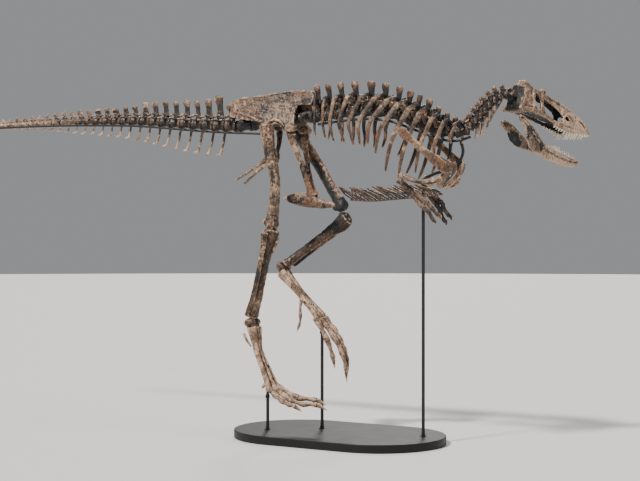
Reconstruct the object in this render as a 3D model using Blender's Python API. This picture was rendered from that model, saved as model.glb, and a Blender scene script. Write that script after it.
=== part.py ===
"""Mounted skeleton of a young tyrannosaur on an oval plinth.

Metres. +X runs forward along the trunk, +Y is the animal's left, +Z is up.
The floor is z = 0 and the plinth rests on it.
"""
import math

import bmesh
import bpy
from mathutils import Vector

# ---------------------------------------------------------------- placing
CENTRE_X = -1.352              # middle of the whole mount, measured from the plinth centre
CENTRE_Y = 0.230
CUT = 0.0004                   # half of the thin cut between bones that meet
RIGHT = -1
LEFT = 1

# ---------------------------------------------------------------- stand
PLINTH_LENGTH = 1.776
PLINTH_WIDTH = 1.073
PLINTH_HEIGHT = 0.065
PLINTH_BEVEL = 0.006
POST_RADIUS = 0.014
ROD_RADIUS = 0.012
RIGHT_POST = (-0.537, -0.201)
LEFT_POST = (-0.192, 0.074)
FRONT_POST = (0.700, 0.100)
RIGHT_POST_TOP = 0.378
LEFT_POST_TOP = 0.886
FRONT_POST_TOP = 2.020

# ---------------------------------------------------------------- backbone
CAUDALS = 36
CAUDALS_PER_NODE = 9
SPINED_CAUDALS = 31
CHEVRON_CAUDALS = 28
WINGED_CAUDALS = 12
DORSALS = 13
CERVICALS = 9
SACRALS = 5
BODY_SHARE = 0.32              # half of the share of each vertebra taken by its body

# ---------------------------------------------------------------- head
HEAD_YAW = math.radians(60.4)
HEAD_PITCH = math.radians(17.0)


def blend(value, stops):
    """Straight-line value between (position, value) stops."""
    if value <= stops[0][0]:
        return stops[0][1]
    for (low, low_value), (high, high_value) in zip(stops, stops[1:]):
        if value <= high:
            share = (value - low) / (high - low)
            return low_value + (high_value - low_value) * share
    return stops[-1][1]


class Path:
    """Smooth curve through points, read by distance along it."""

    STEPS = 12

    def __init__(self, points):
        points = [Vector(point) for point in points]
        ends = [2 * points[0] - points[1]] + points + [2 * points[-1] - points[-2]]
        self.points = []
        for index in range(1, len(ends) - 2):
            for step in range(self.STEPS):
                share = step / self.STEPS
                self.points.append(self.between(ends[index - 1:index + 3], share))
        self.points.append(points[-1])
        self.distances = [0.0]
        for first, second in zip(self.points, self.points[1:]):
            self.distances.append(self.distances[-1] + (second - first).length)
        self.length = self.distances[-1]

    @staticmethod
    def between(near, share):
        before, first, second, after = near
        return 0.5 * (
            2 * first
            + (second - before) * share
            + (2 * before - 5 * first + 4 * second - after) * share ** 2
            + (3 * first - before - 3 * second + after) * share ** 3
        )

    def at(self, distance):
        if distance <= 0.0:
            return self.points[0] + distance * (self.points[1] - self.points[0]).normalized()
        if distance >= self.length:
            extra = distance - self.length
            return self.points[-1] + extra * (self.points[-1] - self.points[-2]).normalized()
        return blend(distance, list(zip(self.distances, self.points)))

    def direction(self, distance):
        return (self.at(distance + 0.01) - self.at(distance - 0.01)).normalized()


class Frame:
    """Place on a path: forward, left and up of that place."""

    def __init__(self, origin, forward):
        self.origin = origin
        self.forward = forward.normalized()
        self.left = Vector((0, 0, 1)).cross(self.forward).normalized()
        self.up = self.forward.cross(self.left)

    def point(self, forward, left, up):
        return self.origin + self.forward * forward + self.left * left + self.up * up


class Solid:
    """Closed surface put together from rings of points."""

    def __init__(self):
        self.verts = []
        self.faces = []

    def ring(self, points):
        start = len(self.verts)
        self.verts.extend(Vector(point) for point in points)
        return list(range(start, len(self.verts)))

    def bridge(self, first, second):
        count = len(first)
        for index in range(count):
            after = (index + 1) % count
            self.faces.append([first[index], first[after], second[after], second[index]])

    def cap(self, ring):
        self.faces.append(list(ring))

    def centre(self, face):
        total = Vector((0, 0, 0))
        for index in face:
            total += self.verts[index]
        return total / len(face)

    def grow(self, face, wide_axis, points, sizes, thick_axis=None):
        """Four-sided branch from a face through points, with (wide, thick) half sizes.

        The branch turns with its path unless both of its axes are given.
        """
        base = self.centre(face)
        track = [base] + [Vector(point) for point in points]
        ring = face
        signs = None
        for index, (half_wide, half_thick) in enumerate(sizes):
            here = track[index + 1]
            after = track[min(index + 2, len(track) - 1)]
            along = (after - track[index]).normalized()
            thick = thick_axis or wide_axis.cross(along).normalized()
            wide = wide_axis if thick_axis else along.cross(thick).normalized()
            if signs is None:
                signs = self.corner_signs(face, base, wide, thick)
            corners = [here + wide * half_wide * a + thick * half_thick * b for a, b in signs]
            new_ring = self.ring(corners)
            self.bridge(ring, new_ring)
            ring = new_ring
        self.cap(ring)

    def corner_signs(self, face, base, wide, thick):
        signs = []
        for index in face:
            offset = self.verts[index] - base
            signs.append((math.copysign(1, offset.dot(wide)), math.copysign(1, offset.dot(thick))))
        if len(set(signs)) != 4:
            raise ValueError("a branch starts from a face it does not line up with")
        return signs

    def tube(self, rings, branches=None):
        """Tube through rings of equal count; branches maps (segment, side) to a grower."""
        branches = branches or {}
        count = len(rings[0])
        for segment, (first, second) in enumerate(zip(rings, rings[1:])):
            for side in range(count):
                after = (side + 1) % count
                face = [first[side], first[after], second[after], second[side]]
                if (segment, side) in branches:
                    branches[(segment, side)](face)
                else:
                    self.faces.append(face)

    def close(self, rings, branches=None):
        """Tube through rings with both of its ends closed."""
        self.tube(rings, branches)
        self.cap(rings[0])
        self.cap(rings[-1])

    def finish(self, name, colour, metallic=0.0, roughness=0.6):
        mesh = bpy.data.meshes.new(name)
        shift = Vector((CENTRE_X, CENTRE_Y, 0))
        mesh.from_pydata([vert - shift for vert in self.verts], [], self.faces)
        work = bmesh.new()
        work.from_mesh(mesh)
        bmesh.ops.recalc_face_normals(work, faces=work.faces)
        bmesh.ops.triangulate(work, faces=work.faces)
        work.to_mesh(mesh)
        work.free()
        body = bpy.data.objects.new(name, mesh)
        bpy.context.scene.collection.objects.link(body)
        mesh.materials.append(material(name, colour, metallic, roughness))
        return body


def material(name, colour, metallic, roughness):
    made = bpy.data.materials.new(name + "_material")
    made.use_nodes = True
    shader = made.node_tree.nodes["Principled BSDF"]
    shader.inputs["Base Color"].default_value = (*colour, 1.0)
    shader.inputs["Metallic"].default_value = metallic
    shader.inputs["Roughness"].default_value = roughness
    return made


BONE = (0.42, 0.25, 0.14)
PALE_BONE = (0.62, 0.42, 0.22)
BLACK_BONE = (0.03, 0.028, 0.027)
STEEL = (0.05, 0.05, 0.055)
BLACK = (0.012, 0.012, 0.013)


def bone_rings(solid, points, sizes, side_axis, sides):
    """Oval rings through points, with (along side_axis, across it) half sizes."""
    points = [Vector(point) for point in points]
    rings = []
    for index, (here, (half_side, half_other)) in enumerate(zip(points, sizes)):
        before = points[max(index - 1, 0)]
        after = points[min(index + 1, len(points) - 1)]
        along = (after - before).normalized()
        other = along.cross(Vector(side_axis)).normalized()
        side = other.cross(along)
        ring = []
        for step in range(sides):
            turn = 2 * math.pi * (step + 0.5) / sides
            ring.append(here + side * half_side * math.cos(turn) + other * half_other * math.sin(turn))
        rings.append(solid.ring(ring))
    return rings


def bone_tube(name, points, sizes, side_axis, sides=8, colour=BONE):
    """Bone made of one tube."""
    solid = Solid()
    rings = bone_rings(solid, points, sizes, side_axis, sides)
    solid.close(rings)
    return solid.finish(name, colour)


def plate(name, outline, offset, colour=BONE):
    """Flat bone: an outline of points and the same outline moved by offset."""
    solid = Solid()
    offset = Vector(offset)
    front = solid.ring([Vector(point) for point in outline])
    back = solid.ring([Vector(point) + offset for point in outline])
    solid.bridge(front, back)
    solid.cap(front)
    solid.cap(back)
    return solid.finish(name, colour)


def side_name(side):
    return "right" if side == RIGHT else "left"


# ---------------------------------------------------------------- backbone paths
TAIL_PATH = Path([
    (-0.9565, 0, 2.533), (-1.26, 0, 2.555), (-1.71, 0, 2.600), (-1.94, 0, 2.621),
    (-2.26, 0, 2.639), (-2.93, 0, 2.659), (-3.63, 0, 2.664), (-4.42, 0, 2.662),
])
TRUNK_PATH = Path([
    (-0.21, 0, 2.572), (0.13, 0, 2.595), (0.30, 0, 2.592), (0.49, 0, 2.562), (0.70, 0.008, 2.485),
    (0.90, 0.025, 2.410), (0.997, 0.036, 2.396), (1.073, 0.053, 2.409), (1.126, 0.076, 2.452),
    (1.166, 0.104, 2.512), (1.232, 0.171, 2.622), (1.296, 0.257, 2.684), (1.362, 0.357, 2.671),
])


def dorsal_length(index):
    return blend(index, ((0, 0.100), (3, 0.126), (4, 0.122), (7, 0.080), (9, 0.090), (12, 0.118)))


def dorsal_middle(index):
    return sum(dorsal_length(step) for step in range(index)) + dorsal_length(index) / 2


NECK_START = dorsal_middle(DORSALS - 1) + dorsal_length(DORSALS - 1) / 2
SKULL_CLEARANCE = 0.036
CERVICAL_LENGTH = (TRUNK_PATH.length - SKULL_CLEARANCE - NECK_START) / CERVICALS


def six_ring(frame, half_wide, half_high):
    """Left, upper left, upper right, right, lower right, lower left."""
    shape = ((1, 0), (0.5, 0.9), (-0.5, 0.9), (-1, 0), (-0.5, -0.9), (0.5, -0.9))
    return [frame.point(0, half_wide * a, half_high * b) for a, b in shape]


SIDE_UPPER_LEFT, SIDE_TOP, SIDE_UPPER_RIGHT, SIDE_LOWER_RIGHT, SIDE_BOTTOM, SIDE_LOWER_LEFT = range(6)


# ---------------------------------------------------------------- tail
def caudal_length(index):
    return blend(index, ((0, 0.118), (CAUDALS - 1, 0.0757)))


def caudal_start(index):
    return sum(caudal_length(step) for step in range(index))


def caudal_radius(index):
    return blend(index, ((0, 0.052), (9, 0.040), (18, 0.027), (27, 0.017), (35, 0.008)))


def caudal_spine_height(index):
    return blend(index, ((0, 0.190), (1, 0.265), (2, 0.225), (7, 0.185), (10, 0.130), (15, 0.110), (21, 0.060),
                         (27, 0.034), (35, 0.014)))


def chevron_depth(index):
    return blend(index, ((1, 0.255), (3, 0.240), (7, 0.185), (10, 0.145), (14, 0.115), (18, 0.075),
                         (24, 0.045), (35, 0.016)))


def tail_frame(distance):
    return Frame(TAIL_PATH.at(distance), -TAIL_PATH.direction(distance))


def caudal_spine(solid, index, frame):
    """Blade leaning back over the vertebra."""
    height = caudal_spine_height(index)
    length = caudal_length(index)
    radius = caudal_radius(index)
    root = frame.point(-0.05 * length, 0, radius * 0.9 + 0.25 * (height - radius * 0.9))
    tip = frame.point(-0.30 * length, 0, height)
    thick = max(0.004, radius * 0.16)
    sizes = ((length * 0.22, thick), (length * 0.20, thick * 1.3))
    return lambda face: solid.grow(face, frame.forward, (root, tip), sizes, frame.left)


def caudal_process(solid, index, frame, side):
    """Side wing of a front tail vertebra."""
    reach = blend(index, ((0, 0.150), (9, 0.085), (15, 0.045)))
    radius = caudal_radius(index)
    middle = frame.point(-0.05 * radius, side * (radius + 0.3 * (reach - radius)), radius * 0.75)
    tip = frame.point(-0.5 * radius, side * reach, radius * 0.8)
    sizes = ((radius * 0.42, radius * 0.16), (radius * 0.30, radius * 0.12))
    return lambda face: solid.grow(face, frame.forward, (middle, tip), sizes)


def chevron(solid, index, frame):
    """Blade hanging between two vertebrae, bent back and widened at its foot."""
    depth = chevron_depth(index)
    length = caudal_length(index)
    radius = caudal_radius(index)
    lean = blend(index, ((1, 0.062), (9, 0.036), (18, 0.020), (35, 0.006)))
    foot = blend(index, ((1, 0.017), (9, 0.019), (18, 0.026), (35, 0.016)))
    thick = max(0.004, radius * 0.16)
    middle = frame.point(-0.45 * lean, 0, -0.9 * radius - 0.55 * (depth - 0.9 * radius))
    tip = frame.point(-lean, 0, -depth)
    sizes = ((length * 0.10, thick), (foot, thick))
    return lambda face: solid.grow(face, frame.forward, (middle, tip), sizes, frame.left)


def make_tail(number):
    first = number * CAUDALS_PER_NODE
    solid = Solid()
    rings = []
    branches = {}
    for index in range(first, first + CAUDALS_PER_NODE):
        length = caudal_length(index)
        middle = caudal_start(index) + length / 2
        radius = caudal_radius(index)
        ends = (middle - BODY_SHARE * length, middle + BODY_SHARE * length)
        if index == first:
            ends = (middle - length / 2 + CUT, ends[1])
        if index == first + CAUDALS_PER_NODE - 1:
            ends = (ends[0], middle + length / 2 - CUT)
        for end in ends:
            rings.append(solid.ring(six_ring(tail_frame(end), radius * 0.92, radius)))
        frame = tail_frame(middle)
        segment = len(rings) - 2
        if index < SPINED_CAUDALS:
            branches[(segment, SIDE_TOP)] = caudal_spine(solid, index, frame)
        if index < WINGED_CAUDALS:
            branches[(segment, SIDE_UPPER_LEFT)] = caudal_process(solid, index, frame, LEFT)
            branches[(segment, SIDE_UPPER_RIGHT)] = caudal_process(solid, index, frame, RIGHT)
        if index < CHEVRON_CAUDALS:
            last = index == first + CAUDALS_PER_NODE - 1
            joint = tail_frame(caudal_start(index + 1) - (0.25 * length if last else 0.0))
            branches[(segment if last else segment + 1, SIDE_BOTTOM)] = chevron(solid, index, joint)
    solid.close(rings, branches)
    solid.finish("tail_%d" % (number + 1), BONE)


# ---------------------------------------------------------------- trunk
def trunk_frame(distance):
    return Frame(TRUNK_PATH.at(distance), TRUNK_PATH.direction(distance))


def dorsal_radius(index):
    return blend(index, ((0, 0.048), (7, 0.045), (12, 0.040)))


def dorsal_spine_height(index):
    return blend(index, ((0, 0.262), (3, 0.248), (7, 0.215), (9, 0.205), (10, 0.175), (12, 0.135)))


def rib_points(index, side, frame):
    """Rib path: wing of the vertebra, shoulder, flank, lower flank and tip."""
    breadth = blend(index, ((0, 0.130), (2, 0.190), (5, 0.225), (7, 0.230), (9, 0.205), (12, 0.110)))
    flank = blend(index, ((-0.5, Vector((-0.185, 0, 2.560))), (3.5, Vector((0.165, 0, 2.510))),
                          (6.5, Vector((0.462, 0, 2.490))), (8.5, Vector((0.650, 0, 2.340))),
                          (10.5, Vector((0.850, 0, 2.300))), (12.5, Vector((1.052, 0, 2.385)))))
    tip = blend(index, ((-0.5, Vector((-0.195, 0, 2.411))), (3.5, Vector((0.200, 0, 2.320))),
                        (6.5, Vector((0.396, 0, 2.320))), (8.5, Vector((0.553, 0, 2.035))),
                        (10.5, Vector((0.799, 0, 2.111))), (11.5, Vector((0.965, 0, 2.290))),
                        (12.5, Vector((1.035, 0, 2.340)))))
    middle = frame.origin.y
    out = blend(index, ((9, 0.085), (12, 0.058)))
    rise = blend(index, ((9, 0.132), (12, 0.075)))
    wing = frame.point(0.005, side * out, rise)
    shoulder = wing.lerp(Vector((flank.x, wing.y, flank.z + 0.050)), 0.22)
    shoulder.y = middle + side * breadth * 0.78
    flank_point = Vector((flank.x, middle + side * breadth, flank.z))
    lower = flank.lerp(tip, 0.55)
    lower_point = Vector((lower.x, middle + side * breadth * 0.96, lower.z))
    tip_point = Vector((tip.x, middle + side * breadth * 0.80, tip.z))
    return (wing, shoulder, flank_point, lower_point, tip_point)


def rib(solid, index, side, frame):
    sizes = ((0.020, 0.012), (0.018, 0.012), (0.016, 0.009), (0.014, 0.008), (0.009, 0.005))
    return lambda face: solid.grow(face, frame.forward, rib_points(index, side, frame), sizes)


def dorsal_spine(solid, index, side, frame):
    """Half of a dorsal spine: flat on the middle plane."""
    height = dorsal_spine_height(index)
    thick = 0.0055
    lean = blend(index, ((0, -0.020), (7, -0.030), (12, -0.030)))
    long = blend(index, ((0, 0.028), (4, 0.030), (8, 0.024), (12, 0.018)))
    root = frame.point(0.3 * lean, side * (CUT + thick), min(0.10, height * 0.6))
    tip = frame.point(lean, side * (CUT + thick), height)
    sizes = ((long, thick), (long, thick))
    return lambda face: solid.grow(face, frame.forward, (root, tip), sizes, frame.left)


def half_ring(frame, side, radius):
    """Outer middle, outer top, inner top, inner bottom, outer bottom."""
    shape = ((1, 0), (0.55, 0.9), (None, 0.9), (None, -0.9), (0.55, -0.9))
    points = []
    for across, high in shape:
        left = CUT if across is None else across * radius
        points.append(frame.point(0, side * left, high * radius))
    return points


def make_rib_cage(side):
    solid = Solid()
    rings = []
    branches = {}
    for index in range(DORSALS):
        middle = dorsal_middle(index)
        half = BODY_SHARE * dorsal_length(index)
        ends = (middle - half, middle + half)
        if index == 0:
            ends = (CUT, ends[1])
        if index == DORSALS - 1:
            ends = (ends[0], NECK_START - CUT)
        for end in ends:
            rings.append(solid.ring(half_ring(trunk_frame(end), side, dorsal_radius(index))))
        frame = trunk_frame(middle)
        segment = len(rings) - 2
        branches[(segment, 0)] = rib(solid, index, side, frame)
        branches[(segment, 1)] = dorsal_spine(solid, index, side, frame)
    solid.close(rings, branches)
    solid.finish("rib_cage_" + side_name(side), BONE)


# ---------------------------------------------------------------- neck
def cervical_rib(solid, frame, side, length):
    """Thin rib trailing back and down beside the neck."""
    sizes = ((0.010, 0.006), (0.006, 0.004), (0.003, 0.002))
    start = frame.point(-0.004, side * 0.046, -0.022)
    middle = frame.point(-0.47 * length, side * 0.050, -0.022 - 0.25 * length)
    tip = frame.point(-0.88 * length, side * 0.044, -0.022 - 0.47 * length)
    return lambda face: solid.grow(face, frame.forward, (start, middle, tip), sizes)


def cervical_spine(solid, frame, height):
    root = frame.point(-0.004, 0, 0.045)
    tip = frame.point(-0.010, 0, height)
    return lambda face: solid.grow(face, frame.forward, (root, tip), ((0.014, 0.008), (0.010, 0.007)))


def cervical_wing(solid, frame, side):
    middle = frame.point(-0.004, side * 0.048, 0.022)
    tip = frame.point(-0.022, side * 0.062, 0.012)
    return lambda face: solid.grow(face, frame.forward, (middle, tip), ((0.013, 0.008), (0.010, 0.006)))


def make_neck(name, first, last, colour):
    solid = Solid()
    rings = []
    branches = {}
    for index in range(first, last):
        middle = NECK_START + (index + 0.5) * CERVICAL_LENGTH
        radius = blend(index, ((0, 0.038), (8, 0.028)))
        ends = [middle - BODY_SHARE * CERVICAL_LENGTH, middle + BODY_SHARE * CERVICAL_LENGTH]
        if index == first:
            ends[0] = middle - CERVICAL_LENGTH / 2 + CUT
        if index == last - 1:
            ends[1] = middle + CERVICAL_LENGTH / 2 - CUT
        for end in ends:
            rings.append(solid.ring(six_ring(trunk_frame(end), radius, radius)))
        frame = trunk_frame(middle)
        segment = len(rings) - 2
        height = blend(index, ((0, 0.082), (3, 0.092), (6, 0.090), (8, 0.062)))
        branches[(segment, SIDE_TOP)] = cervical_spine(solid, frame, height)
        if 0 < index < 7:
            length = blend(index, ((1, 0.13), (3, 0.19), (6, 0.17)))
            branches[(segment, SIDE_LOWER_LEFT)] = cervical_rib(solid, frame, LEFT, length)
            branches[(segment, SIDE_LOWER_RIGHT)] = cervical_rib(solid, frame, RIGHT, length)
            branches[(segment, SIDE_UPPER_LEFT)] = cervical_wing(solid, frame, LEFT)
            branches[(segment, SIDE_UPPER_RIGHT)] = cervical_wing(solid, frame, RIGHT)
    solid.close(rings, branches)
    solid.finish(name, colour)


# ---------------------------------------------------------------- hips
SACRUM_PATH = Path([(-0.95, 0, 2.533), (-0.60, 0, 2.552), (-0.21, 0, 2.572)])


def make_sacrum():
    solid = Solid()
    rings = []
    branches = {}
    length = SACRUM_PATH.length / SACRALS
    for index in range(SACRALS):
        middle = (index + 0.5) * length
        ends = [middle - BODY_SHARE * length, middle + BODY_SHARE * length]
        if index == 0:
            ends[0] = CUT
        if index == SACRALS - 1:
            ends[1] = SACRUM_PATH.length - CUT
        for end in ends:
            frame = Frame(SACRUM_PATH.at(end), SACRUM_PATH.direction(end))
            rings.append(solid.ring(six_ring(frame, 0.047, 0.050)))
        frame = Frame(SACRUM_PATH.at(middle), SACRUM_PATH.direction(middle))
        segment = len(rings) - 2
        top = frame.point(-0.01, 0, 0.190)
        root = frame.point(0, 0, 0.075)
        sizes = ((0.050, 0.010), (0.062, 0.009))
        branches[(segment, SIDE_TOP)] = (
            lambda face, root=root, top=top, axis=frame.forward, sizes=sizes:
            solid.grow(face, axis, (root, top), sizes)
        )
    solid.close(rings, branches)
    solid.finish("sacrum", BLACK_BONE)


ILIUM_OUTLINE = (
    (-0.985, 2.610), (-1.000, 2.680), (-0.985, 2.752), (-0.840, 2.764), (-0.690, 2.773), (-0.510, 2.790),
    (-0.370, 2.795), (-0.250, 2.785), (-0.205, 2.745), (-0.225, 2.670), (-0.310, 2.678), (-0.355, 2.640),
    (-0.350, 2.530), (-0.322, 2.470), (-0.420, 2.455), (-0.478, 2.512), (-0.545, 2.526), (-0.605, 2.495),
    (-0.655, 2.500), (-0.700, 2.556), (-0.830, 2.573),
)


def ilium_inner(height):
    """Distance of the inner face from the middle plane at a height."""
    return blend(height, ((2.45, 0.105), (2.56, 0.080), (2.68, 0.040), (2.80, 0.016)))


def make_ilium(side):
    """Blade standing beside the sacrum, close to the middle at its top edge."""
    solid = Solid()
    inner = solid.ring([(x, side * ilium_inner(z), z) for x, z in ILIUM_OUTLINE])
    outer = solid.ring([(x, side * (ilium_inner(z) + ilium_thick(z)), z) for x, z in ILIUM_OUTLINE])
    solid.bridge(inner, outer)
    solid.cap(inner)
    solid.cap(outer)
    solid.finish("ilium_" + side_name(side), BONE)


def ilium_thick(height):
    return blend(height, ((2.45, 0.050), (2.56, 0.030), (2.68, 0.020), (2.80, 0.016)))


def make_pubis(side):
    """Half of the boot with the shaft rising from it to the hip socket."""
    solid = Solid()
    boot = (
        (-0.520, 1.924, 1.936, 0.010), (-0.430, 1.880, 1.963, 0.030), (-0.340, 1.855, 1.976, 0.038),
        (-0.262, 1.843, 1.962, 0.040), (-0.190, 1.836, 1.930, 0.036), (-0.110, 1.832, 1.902, 0.028),
        (-0.032, 1.852, 1.876, 0.010),
    )
    rings = []
    for x, low, high, wide in boot:
        ring = ((x, CUT, low), (x, wide, low + 0.3 * (high - low)), (x, wide * 0.8, high), (x, CUT, high))
        rings.append(solid.ring([(px, side * py, pz) for px, py, pz in ring]))
    shaft = [
        (-0.255, side * 0.024, 2.000), (-0.290, side * 0.036, 2.110), (-0.335, side * 0.066, 2.270),
        (-0.372, side * 0.100, 2.400), (-0.372, side * 0.118, 2.449),
    ]
    sizes = ((0.030, 0.018), (0.024, 0.016), (0.024, 0.015), (0.032, 0.018), (0.048, 0.022))
    branches = {(3, 2): lambda face: solid.grow(face, Vector((1, 0, 0)), shaft, sizes)}
    solid.close(rings, branches)
    solid.finish("pubis_" + side_name(side), PALE_BONE)


def make_ischium(side):
    drop = 0.0 if side == RIGHT else 0.035
    points = (
        (-0.628, side * 0.125, 2.486), (-0.612, side * 0.085, 2.370), (-0.640, side * 0.052, 2.262),
        (-0.770, side * 0.026, 2.185 - 0.6 * drop), (-0.975 + 1.6 * drop, side * 0.018, 2.082 - drop),
    )
    sizes = ((0.020, 0.032), (0.015, 0.022), (0.013, 0.034), (0.011, 0.018), (0.009, 0.011))
    bone_tube("ischium_" + side_name(side), points, sizes, (0, 1, 0), sides=6, colour=PALE_BONE)


# ---------------------------------------------------------------- legs
def mirrored(points, side):
    return [(x, y if side == LEFT else -y, z) for x, y, z in points]


def make_femur(name, points, head):
    """Thigh bone with its head growing inward from the top."""
    solid = Solid()
    rings = bone_rings(solid, points, FEMUR_SIZES, (0, 1, 0), 8)
    inner_face = 3 if head[1] < points[0][1] else 7
    shaft = (Vector(points[1]) - Vector(points[0])).normalized()
    branches = {(0, inner_face): lambda face: solid.grow(face, shaft, (Vector(head),), ((0.036, 0.034),))}
    solid.close(rings, branches)
    solid.finish(name, BONE)


FEMUR_SIZES = ((0.046, 0.062), (0.044, 0.058), (0.040, 0.050), (0.036, 0.042), (0.036, 0.042),
               (0.046, 0.052), (0.056, 0.064), (0.050, 0.056))
TIBIA_SIZES = ((0.050, 0.070), (0.050, 0.074), (0.040, 0.052), (0.033, 0.036), (0.033, 0.034),
               (0.044, 0.036), (0.056, 0.042))


def make_right_leg():
    femur = (
        (-0.548, -0.196, 2.512), (-0.543, -0.196, 2.440), (-0.520, -0.198, 2.300), (-0.478, -0.200, 2.130),
        (-0.468, -0.200, 1.950), (-0.488, -0.200, 1.790), (-0.497, -0.200, 1.715), (-0.500, -0.200, 1.682),
    )
    make_femur("femur_right", femur, (-0.540, -0.144, 2.470))
    tibia = (
        (-0.504, -0.195, 1.668), (-0.510, -0.195, 1.620), (-0.540, -0.194, 1.520), (-0.582, -0.192, 1.350),
        (-0.632, -0.190, 1.130), (-0.668, -0.190, 1.015), (-0.684, -0.190, 0.962),
    )
    bone_tube("tibia_right", tibia, TIBIA_SIZES, (0, 1, 0))
    fibula = (
        (-0.528, -0.268, 1.640), (-0.538, -0.266, 1.560), (-0.584, -0.262, 1.360), (-0.644, -0.264, 1.140),
        (-0.700, -0.266, 0.972),
    )
    sizes = ((0.014, 0.036), (0.012, 0.022), (0.010, 0.013), (0.010, 0.012), (0.013, 0.018))
    bone_tube("fibula_right", fibula, sizes, (0, 1, 0), sides=6)
    ankle = ((-0.692, -0.200, 0.940), (-0.688, -0.200, 0.910), (-0.680, -0.200, 0.882))
    bone_tube("ankle_right", ankle, ((0.062, 0.056), (0.066, 0.062), (0.058, 0.048)), (0, 1, 0))


def make_left_leg():
    femur = (
        (-0.505, 0.176, 2.506), (-0.470, 0.180, 2.445), (-0.385, 0.182, 2.330), (-0.270, 0.186, 2.170),
        (-0.180, 0.190, 2.020), (-0.105, 0.194, 1.910), (-0.078, 0.196, 1.862), (-0.066, 0.197, 1.838),
    )
    make_femur("femur_left", femur, (-0.520, 0.140, 2.466))
    tibia = (
        (-0.022, 0.200, 1.770), (-0.062, 0.199, 1.742), (-0.142, 0.196, 1.688), (-0.284, 0.188, 1.594),
        (-0.434, 0.178, 1.492), (-0.540, 0.168, 1.420), (-0.584, 0.163, 1.390),
    )
    bone_tube("tibia_left", tibia, TIBIA_SIZES, (0, 1, 0))
    fibula = (
        (-0.098, 0.268, 1.700), (-0.160, 0.266, 1.655), (-0.300, 0.256, 1.556), (-0.440, 0.246, 1.460),
        (-0.560, 0.238, 1.380),
    )
    sizes = ((0.014, 0.036), (0.012, 0.022), (0.010, 0.013), (0.010, 0.012), (0.013, 0.018))
    bone_tube("fibula_left", fibula, sizes, (0, 1, 0), sides=6)
    ankle = ((-0.598, 0.164, 1.380), (-0.622, 0.160, 1.362), (-0.640, 0.157, 1.346))
    bone_tube("ankle_left", ankle, ((0.062, 0.044), (0.066, 0.046), (0.058, 0.034)), (0, 1, 0))


def make_metatarsus(name, top, across, waist, ends):
    """Three long foot bones joined at their upper ends and parted below."""
    solid = Solid()
    along = (waist - top).normalized()
    front = along.cross(across).normalized()
    rings = []
    for centre, half_wide, half_deep in ((top, 0.062, 0.044), (top.lerp(waist, 0.5), 0.046, 0.028),
                                         (waist, 0.043, 0.026)):
        row = [-1.0, -1.0 / 3, 1.0 / 3, 1.0]
        ring = [centre + across * half_wide * step + front * half_deep for step in row]
        ring += [centre + across * half_wide * step - front * half_deep for step in reversed(row)]
        rings.append(solid.ring(ring))
    solid.tube(rings)
    solid.cap(rings[0])
    last = rings[-1]
    for number, end in enumerate(ends):
        face = [last[number], last[number + 1], last[6 - number], last[7 - number]]
        middle = solid.centre(face).lerp(end, 0.6)
        near = solid.centre(face).lerp(end, 0.9)
        points = (middle, near, end)
        solid.grow(face, across, points, ((0.0130, 0.020), (0.019, 0.026), (0.019, 0.024)))
    solid.finish(name, PALE_BONE)


def make_toe(name, points, start_size, claw_size):
    """Toe whose joints swell between waists, ending in a claw."""
    path = Path(points)
    joints = 4
    stations = []
    sizes = []
    claw_start = 0.76 * path.length
    for joint in range(joints):
        share = joint / (joints - 1)
        size = start_size + (claw_size - start_size) * share
        stations.append(path.at(claw_start * share))
        sizes.append((size, size))
        if joint < joints - 1:
            stations.append(path.at(claw_start * (share + 0.5 / (joints - 1))))
            sizes.append((size * 0.78, size * 0.78))
    stations.append(path.at(0.90 * path.length))
    sizes.append((claw_size * 0.6, claw_size * 0.75))
    stations.append(path.at(path.length))
    sizes.append((claw_size * 0.15, claw_size * 0.15))
    bone_tube(name, stations, sizes, (0, 1, 0), sides=6, colour=PALE_BONE)


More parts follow.
